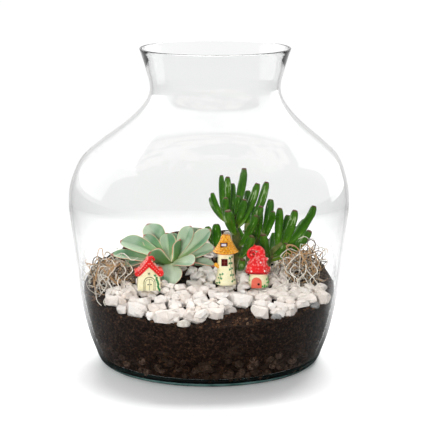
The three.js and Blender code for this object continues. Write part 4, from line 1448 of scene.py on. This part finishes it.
def tower_walls():
    wall = TOWER_SIZE["wall"]
    levels = (0.6, 2.5, 5, 9, 13, 18, 22, 26, wall)
    side = [(z, tower_wall_radius(z)) for z in levels]
    body = spun("tower_body", [(0, 0), (0, 9.6), *side, (wall, 0)], 48)
    reshape(body, lambda p: Vector((p.x, p.y, 0)) * (1 + 0.02 * noise.noise(p * 0.25)) + UP * p.z)
    walls = [painted(body, "cream")]
    window_place = (-1.3, -TOWER_SIZE["waist"] - 0.1, 22)
    walls += window("tower_window", (6.0, 2.2, 6.8), window_place, "maroon", "brown")
    bend = [(-7, -3, 17), (-8.6, -4.2, 18.2), (-9.6, -4.8, 19.6)]
    arm = sweep("arm", bend, lambda t: lerp(2.0, 1.3, t), 8, 10)
    lamp = joined("lamp", [arm, ball("lamp_ball", 2.0, (-9.2, -4.7, 19.2), 3)])
    walls.append(painted(lamp, "orange"))
    right = [(4.6, 26.4), (4.5, 21), (4.8, 15.6), (5.8, 9.6), (7.2, 4.2)]
    walls += vine(tower_wall_radius, right, 1.25, "ivy")
    walls += vine(tower_wall_radius, [(-4.2, 10.6), (-5.4, 6.8), (-7, 2.4)], 1.3, "ivy")
    set_down(joined("tower_walls", placed(TOWER, walls)), "cream_glaze", "tower_walls")


def shingle_blank():
    """A roof tile: a block that narrows toward its upper edge."""
    shingle = block("shingle", (1, 0.5, 1))
    with editing(shingle, everything=False):
        pick_faces(shingle, lambda normal: normal.z > 0.9)
        bpy.ops.transform.resize(value=(0.7, 0.4, 1))
    return smooth(softened(shingle, 0.17), 40)


def tiles(low, rise, flare):
    """Rows of tiles round the roof's cone, each row half a tile aside from the one below."""
    shingle = shingle_blank()
    draw = random.Random(3)
    row_height = rise / TILE_ROWS
    pieces = []
    for row in range(TILE_ROWS):
        t = row / (TILE_ROWS + 0.7)
        radius, upper = flare(t), flare(t + 1 / TILE_ROWS)
        tilt = math.atan2(radius - upper, row_height)
        number = max(int(TURN * radius / 3.1), 7)
        size = Matrix.Diagonal((TURN * radius / number * 0.94, 2.2, row_height * 1.3, 1))
        out = Matrix.Translation((0, -(radius + upper) / 2 - 0.1, low + 0.9 + rise * t + 0.6 * row_height))
        for k in range(number):
            turn = Matrix.Rotation(TURN * (k + 0.5 * (row % 2)) / number, 4, "Z")
            lie = Matrix.Rotation(-tilt - 0.2 + draw.uniform(-0.1, 0.1), 4, "X")
            pieces.append(painted(copied(shingle, turn @ out @ lie @ size), "orange"))
    discard(shingle)
    return pieces


def tower_roof():
    """A flared cone of tiles with a flat cap, and a dormer window under a hood."""
    eaves, top, height = TOWER_SIZE["eaves"], TOWER_SIZE["top"], TOWER_SIZE["height"]
    low = TOWER_SIZE["wall"] + 0.3
    rise = height - low

    def flare(t):
        return lerp(eaves, top, 1 - (1 - t) ** 1.5)

    slope = [(low + rise * k / 8, flare(k / 8) - 0.9) for k in range(1, 9)]
    cone = spun("roof_cone", [(low, 0), (low, eaves - 1.4), *slope, (height - 0.3, 0)], 40)
    cap = ball("roof_cap", top - 0.2, fineness=3)
    with editing(cap):
        bpy.ops.transform.resize(value=(1, 1, 0.3))
        bpy.ops.transform.translate(value=(0, 0, height - 0.75))
    # the cone's deeper orange between the tiles is painted shade in the gaps
    roof = [painted(cone, "deep_orange"), painted(cap, "deep_orange"), *tiles(low, rise, flare)]
    roof += window("dormer", (6.8, 6, 4.6), (-1.9, -5.0, low + 9.0), "pane")
    hood = block("dormer_hood", (8, 5.6, 1), (-1.9, -5.0, low + 11.5), 0.35)
    roof.append(painted(hood, "orange"))
    set_down(joined("tower_roof", placed(TOWER, roof)), "orange_glaze", "tower_roof")


# ---------- toadstool ----------

TOADSTOOL_SIZE = {"foot": 9.6, "wall": 13.5, "eaves": 12}
TOADSTOOL_WALL = [(0, 9.6), (4, 9.6), (13.5, 8.2)]
TOADSTOOL_VINES = [
    ([(8.6, 8.2), (9.0, 4.6)], 1.2), ([(4.6, 2.2), (6.6, 1.4)], 1.2), ([(-8.9, 10), (-9.1, 6.4)], 0.9),
]
# The cap's spine above its eaves and its girth by knot, then its girth and lean by height on the cone.
CAP_SPINE = [
    (-1, 0, 0), (-0.8, 0, 4.5), (-0.2, 0, 9), (0.9, 0, 13), (2, 0, 16.8), (2.2, 0, 20), (0.2, -0.1, 22.6),
    (-3.2, -0.3, 22.9), (-6.6, -0.5, 21.7), (-9.1, -0.8, 19), (-9, -1.1, 15.8), (-6.4, -1.4, 14.1),
    (-3.5, -1.7, 15.2), (-2.9, -2, 17.9), (-4.9, -2.4, 19.6), (-7, -2.8, 18.2), (-6.3, -3.1, 16.6),
    (-5.1, -3.2, 17.2),
]
CAP_GIRTH = [
    (0, 0.975), (1, 0.9), (2, 0.77), (3, 0.583), (4, 0.39), (5, 0.29), (6, 0.225), (7, 0.2), (8, 0.18),
    (9, 0.163), (10, 0.15), (11, 0.138), (12, 0.125), (13, 0.117), (14, 0.104), (15, 0.096), (16, 0.075),
    (17, 0.04),
]
CAP_SLOPE = [(0, 0.975), (4.5, 0.9), (9, 0.77), (13, 0.583)]
CAP_LEAN = [(0, -1), (4.5, -0.8), (9, -0.2), (13, 0.9)]
# Knobbed dots on the cap: way in degrees, and height above the eaves.
CAP_SPOTS = [
    (-120, 2.4), (-58, 2.6), (-81, 10.6), (-174, 9), (-162, 5.6), (-10, 12.6), (-6, 3.8), (84, 4), (113, 9),
    (40, 8),
]


def toadstool_wall_radius(z):
    return through(TOADSTOOL_WALL, z)


def toadstool_walls():
    foot, wall = TOADSTOOL_SIZE["foot"], TOADSTOOL_SIZE["wall"]
    side = [(z, toadstool_wall_radius(z)) for z in (0.6, 2, 4, 7, 10, wall)]
    body = spun("toadstool_body", [(0, 0), (0, 9.0), *side, (wall, 0)], 48)
    door_x = -2.1
    door = arch("toadstool_door", 4.9, 10.2, 2.4, (door_x, 1.9 - foot, 0.2))
    softened(door, 0.25)
    knob = ball("door_knob", 1.15, (door_x + 1.9, -foot - 0.6, 4.2), 3)
    walls = [painted(body, "cream"), painted(smooth(door, 40), "coral"), painted(knob, "dark")]
    for points, size in TOADSTOOL_VINES:
        walls += vine(toadstool_wall_radius, points, size, "light_ivy")
    set_down(joined("toadstool_walls", placed(TOADSTOOL, walls)), "cream_glaze", "toadstool_walls")


def cap_groove(low):
    """The dark spiral in the curl of the cap: a dark red wire laid in the groove, as painted shade."""
    path = []
    for k in range(30):
        t = k / 29
        angle, radius = math.radians(70 + 15 * k), lerp(3.2, 0.9, t**1.3)
        x, z = -5.9 + radius * math.cos(angle), low + 18 + radius * math.sin(angle)
        path.append((x, lerp(-2.9, -4.3, t), z))
    return wires("cap_groove", [path], lambda t: 0.42, 8)


def toadstool_cap():
    """A pointed cap whose long tip curls over to one side, with dots that stand out from it, each topped with
    a pale painted highlight.
    """
    eaves = TOADSTOOL_SIZE["eaves"]
    low = TOADSTOOL_SIZE["wall"] + 0.3
    spine = [(x, y, z + low) for x, y, z in CAP_SPINE]
    knots = len(spine) - 1
    cap = sweep("cap", spine, lambda t: eaves * through(CAP_GIRTH, knots * t), 8 * knots, 40)
    parts = [painted(smooth(cap, 60), "cap")]
    brim = 0.975 * eaves
    angles = [TURN * k / 40 for k in range(41)]
    ring = [(brim * math.cos(a) - 1, brim * math.sin(a), low + 0.8) for a in angles]
    parts.append(painted(wires("cap_rim", [ring], lambda t: 0.8, 8), "deep_red"))
    # the dark wire in the curl's groove is painted shade between the coils
    parts.append(painted(cap_groove(low), "deep_red"))
    for k, (turn, height) in enumerate(CAP_SPOTS):
        out = eaves * through(CAP_SLOPE, height) - 0.6
        angle = math.radians(turn)
        way = Vector((math.cos(angle), math.sin(angle), 0.35))
        middle = Vector((through(CAP_LEAN, height), 0, low + height)) + Vector((way.x, way.y, 0)) * out
        parts.append(painted(ball(f"cap_spot_{k}", 1.8, middle, 3), "cap"))
        # a pale ball on the upper outer side of each knob: painted highlight
        parts.append(painted(ball(f"cap_highlight_{k}", 1.0, middle + way * 1.1, 2), "knob_highlight"))
    parts.append(painted(ball("cap_knob", 1.3, (-3.8, -0.6, low + 25.2), 3), "red"))
    set_down(joined("toadstool_cap", placed(TOADSTOOL, parts)), "red_glaze", "toadstool_cap")


# ---------- cottage ----------

COTTAGE_SIZE = {
    "width": 21.4, "depth": 15, "peak": 22.8, "pitch": 0.95,
    "ridge": 31, "eaves": 9.8, "roll": 2.5, "lap": 1.6,
}
COTTAGE_FRONT = -COTTAGE_SIZE["depth"] / 2
DOOR_X = 0.3
PORTHOLE = {"z": 16.4, "radius": 1.5}
COTTAGE_IVY = [
    (5.6, 14.6), (7.0, 12.4), (7.2, 10.2), (8.0, 8.4), (8.6, 6.2), (8.2, 4.4), (9.0, 2.4), (9.6, 1.0),
]


def painted_line(name, points, thickness):
    """A thin raised line in olive paint."""
    return painted(sweep(name, points, lambda t: thickness, 5 * len(points), 8), "line")


def cottage_door():
    """A double door with the lines of its edge and leaves, and two pulls."""
    door = arch("cottage_door", 5.0, 12.9, 0.9, (DOOR_X, COTTAGE_FRONT + 0.3, 0.2))
    softened(door, 0.2)
    parts = [painted(smooth(door, 40), "cream")]
    face = COTTAGE_FRONT - 0.62
    parts.append(painted_line("door_edge", arch_line(DOOR_X, 5.1, 13.1, COTTAGE_FRONT - 0.5, 0.4), 0.42))
    parts.append(painted_line("door_leaf", arch_line(DOOR_X, 3.9, 11.2, face, 0.4), 0.24))
    parts.append(painted_line("door_middle", [(DOOR_X, face, z) for z in (0.4, 6, 11.4)], 0.24))
    for side in (-1, 1):
        pull = block("door_pull", (1.3, 0.7, 1.0), (DOOR_X + side * 1.3, COTTAGE_FRONT - 0.9, 6.2), 0.25)
        parts.append(painted(pull, "dark"))
    return parts


def cottage_ivy():
    """Leaves up the right side of the front, and the stem behind them."""
    leaf = ivy_leaf()
    facing = Matrix(((1, 0, 0), (0, 0, -1), (0, 1, 0))).to_4x4()
    parts = []
    for k, (x, z) in enumerate(COTTAGE_IVY):
        place = Matrix.Translation((x, COTTAGE_FRONT - 0.1, z))
        turn = Matrix.Rotation(1.2 + 2.0 * (k % 2), 4, "Z")
        parts.append(copied(leaf, place @ facing @ turn @ sized(1.45)))
    discard(leaf)
    course = [(x, COTTAGE_FRONT - 0.05, z) for x, z in COTTAGE_IVY[::2] + COTTAGE_IVY[-1:]]
    parts.append(sweep("ivy_stem", course, lambda t: 0.3, 20, 6))
    return [painted(part, "ivy") for part in parts]


def cottage_walls():
    size = COTTAGE_SIZE
    half, shoulder = size["width"] / 2, size["width"] / 2 - 0.6
    top = size["peak"] - 0.45
    knee = top - size["pitch"] * shoulder
    outline = [(-half, 0), (half, 0), (shoulder, knee), (0, top), (-shoulder, knee)]
    gable = softened(prism("cottage_body", outline, size["depth"]), 0.8, 3)
    walls = [painted(smooth(gable, 40), "cream"), *cottage_door()]
    radius, z = PORTHOLE["radius"], PORTHOLE["z"]
    angles = [TURN * k / 16 for k in range(17)]
    ring = [Vector((radius * math.cos(a), COTTAGE_FRONT - 0.4, z + radius * math.sin(a))) for a in angles]
    walls.append(painted(wires("porthole", [ring], lambda t: 0.5, 8), "cream"))
    walls.append(painted(ball("porthole_pane", 1.0, (0, COTTAGE_FRONT + 0.2, z), 2), "line"))
    walls += cottage_ivy()
    set_down(joined("cottage_walls", placed(COTTAGE, walls)), "cream_glaze", "cottage_walls")


def roof_dots(outer, upper, lower, long):
    """Painted dots strewn over both slopes, and in a row along the front edge of the roof.

    The upper slope goes from the ridge and the lower one from the peak, both down to the eaves.
    """
    dot = ball("dot", 0.55, fineness=1)
    draw = random.Random(13)
    spots = []
    for _ in range(70):
        side, t, y = draw.choice((-1, 1)), draw.uniform(0.08, 0.92), draw.uniform(-0.46, 0.46) * long
        spots.append((side * outer * t, y, lerp(*upper, t) - 0.05))
    for k in range(14):
        side, t = (-1, 1)[k % 2], (k // 2 + 0.5) / 7
        spots.append((side * outer * t * 0.97, -long / 2, lerp(lerp(*lower, t), lerp(*upper, t), 0.5)))
    dots = [painted(copied(dot, Matrix.Translation(spot)), "red_dots") for spot in spots]
    discard(dot)
    return dots


def cottage_roof():
    """A thick gable roof with rolled eaves, a coil at the front of the right one and a hook on the ridge."""
    size = COTTAGE_SIZE
    peak, ridge = size["peak"], size["ridge"]
    long = size["depth"] + 2 * size["lap"]
    inner, outer = size["eaves"] - 0.6, size["eaves"] + 1.4
    drip = peak - size["pitch"] * inner
    brow = drip + size["roll"]
    outline = [(0, peak), (inner, drip), (outer, brow), (0, ridge), (-outer, brow), (-inner, drip)]
    slopes = softened(prism("slopes", outline, long), 0.7, 3)
    roof = [smooth(slopes, 40)]
    x, end = size["eaves"] + 0.9, long / 2
    for side, girth in ((-1, size["roll"]), (1, 1.2 * size["roll"])):
        soft = girth - 0.6
        barrel = [(-end, 0), (-end, soft), (0.8 - end, girth), (end - 0.8, girth), (end, soft), (end, 0)]
        roll = spun("eaves_roll", barrel, 28)
        roll.data.transform(Matrix.Translation((side * x, 0, brow)) @ Matrix.Rotation(math.pi / 2, 4, "X"))
        roof.append(roll)
    turns = [(2.2 - 0.11 * k, 0.55 * k) for k in range(16)]
    coil = [(x + r * math.cos(a), -end - 0.1, brow + r * math.sin(a)) for r, a in turns]
    roof.append(sweep("coil", coil, lambda t: 0.5, 60, 8))
    bends = [(0.4, ridge - 3), (1.2, ridge + 0.2), (3.2, ridge + 0.6), (5.4, ridge - 2.2)]
    hook = [(a, COTTAGE_FRONT + 1, z) for a, z in bends]
    roof.append(sweep("hook", hook, lambda t: lerp(2.0, 0.9, t), 20, 12))
    roof = [painted(part, "red") for part in roof]
    roof += roof_dots(outer, (ridge, brow), (peak, drip), long)
    set_down(joined("cottage_roof", placed(COTTAGE, roof)), "red_glaze", "cottage_roof")


# ---------- floor, light and camera ----------

# How bright the surroundings are, by how far a ray points from the camera's side, 0, to the far side, 1.
FLOOR_MIRRORED = [(0.0, 0.03), (0.6, 0.07), (0.78, 0.3), (0.92, 0.62), (1.0, 0.9)]
FLOOR_PLAIN = [(0.0, 0.40), (0.45, 0.70), (0.7, 1.0)]
TENT_MIRRORED = [(0.0, 0.07), (0.3, 0.27), (0.5, 0.55), (0.75, 1.0)]
TENT_PLAIN = [(0.0, 0.24), (0.45, 0.41), (0.7, 0.59)]
# Softboxes: place, width and height, power, and whether glass mirrors them.
SOFTBOXES = {
    "left window": ((-0.98, 0.56, 0.77), (1.3, 1.15), 4.6, True),
    "right window": ((0.92, 0.78, 0.61), (0.85, 1.15), 3.2, True),
    "high light": ((0.1, 0.95, 1.2), (1.3, 0.8), 39, False),
    "low fill": ((-0.4, -1.8, 0.42), (0.7, 0.5), 29, False),
}
LIT_SPOT = Vector((0, 0, 0.12))  # where every softbox points
CAMERA = {"place": (0.0058, -1.65, 0.46506), "tilt": 11.135, "lens": 147.74, "sensor": 36}


def tent_shade(tree, forward, plain, mirrored, white):
    """How bright the surroundings are that way: less in mirrors than where they only light things, and
    white where they are seen, also through the glass. Forward goes from -1 to 1."""
    way = node(tree, "MapRange", {"Value": forward, "From Min": -1.0}).outputs["Result"]

    def greys(stops):
        return ramp(tree, way, [(place, (level,) * 3) for place, level in stops])

    rays = node(tree, "LightPath").outputs
    clean = sums(tree, "LESS_THAN", rays["Diffuse Depth"], 0.5)
    straight = sums(tree, "LESS_THAN", rays["Glossy Depth"], 0.5)
    lit = blend(tree, straight, greys(mirrored), (white,) * 3)
    return blend(tree, clean, greys(plain), lit)


def stage():
    """A pale sheet that takes the soft shadow and runs out into white, as a lit cove does."""
    floor = added("floor", bpy.ops.mesh.primitive_plane_add, size=60, location=(0, 0, -0.0004))
    material, tree, shader = finish("pale floor", roughness=0.9, specular_ior_level=0.1)
    places = places_on(tree)
    way = node(tree, "VectorMath", {0: places}, operation="NORMALIZE").outputs["Vector"]
    forward = node(tree, "SeparateXYZ", {0: way}).outputs["Y"]
    shade = tent_shade(tree, forward, FLOOR_PLAIN, FLOOR_MIRRORED, 1.0)
    colour(tree, shader, shade)
    white = node(tree, "Emission", {"Color": shade, "Strength": 1.02})
    reach = node(tree, "VectorMath", {0: places}, operation="LENGTH").outputs["Value"]
    shown(tree, shader, white, between(tree, reach, 0.3, 0.75))
    floor.data.materials.append(material)


def softbox(name, place, size, power, mirrored):
    data = bpy.data.lights.new(name, "AREA")
    data.shape = "RECTANGLE"
    data.size, data.size_y = size
    data.energy = power
    lamp = bpy.data.objects.new(name, data)
    lamp.location = place
    lamp.rotation_euler = (LIT_SPOT - lamp.location).to_track_quat("-Z", "Y").to_euler()
    lamp.visible_glossy = mirrored
    lamp.visible_transmission = mirrored
    bpy.context.scene.collection.objects.link(lamp)


def light():
    """A bright tent behind and a dark room in front, with a softbox at each side and one above."""
    scene = bpy.context.scene
    scene.view_settings.view_transform = "Standard"
    scene.world = bpy.data.worlds.new("studio")
    scene.world.use_nodes = True
    tree = scene.world.node_tree
    forward = node(tree, "SeparateXYZ", {0: node(tree, "TexCoord").outputs["Generated"]}).outputs["Y"]
    background = tree.nodes["Background"].inputs
    tree.links.new(tent_shade(tree, forward, TENT_PLAIN, TENT_MIRRORED, 1.18), background["Color"])
    background["Strength"].default_value = 0.85
    for name, values in SOFTBOXES.items():
        softbox(name, *values)


def camera():
    data = bpy.data.cameras.new("camera")
    data.sensor_width = CAMERA["sensor"]
    data.lens = CAMERA["lens"]
    eye = bpy.data.objects.new("camera", data)
    eye.location = CAMERA["place"]
    eye.rotation_euler = (math.radians(90 - CAMERA["tilt"]), 0, 0)
    bpy.context.scene.collection.objects.link(eye)
    bpy.context.scene.camera = eye


camera()
light()
stage()
glass_vase()
potting_soil()
soil_crumbs()
clay_granules()
bark_pieces()
white_chippings()
pebbles()
rosette_succulent()
finger_jade()
dry_moss("left")
dry_moss("right")
tower_walls()
tower_roof()
toadstool_walls()
toadstool_cap()
cottage_walls()
cottage_roof()
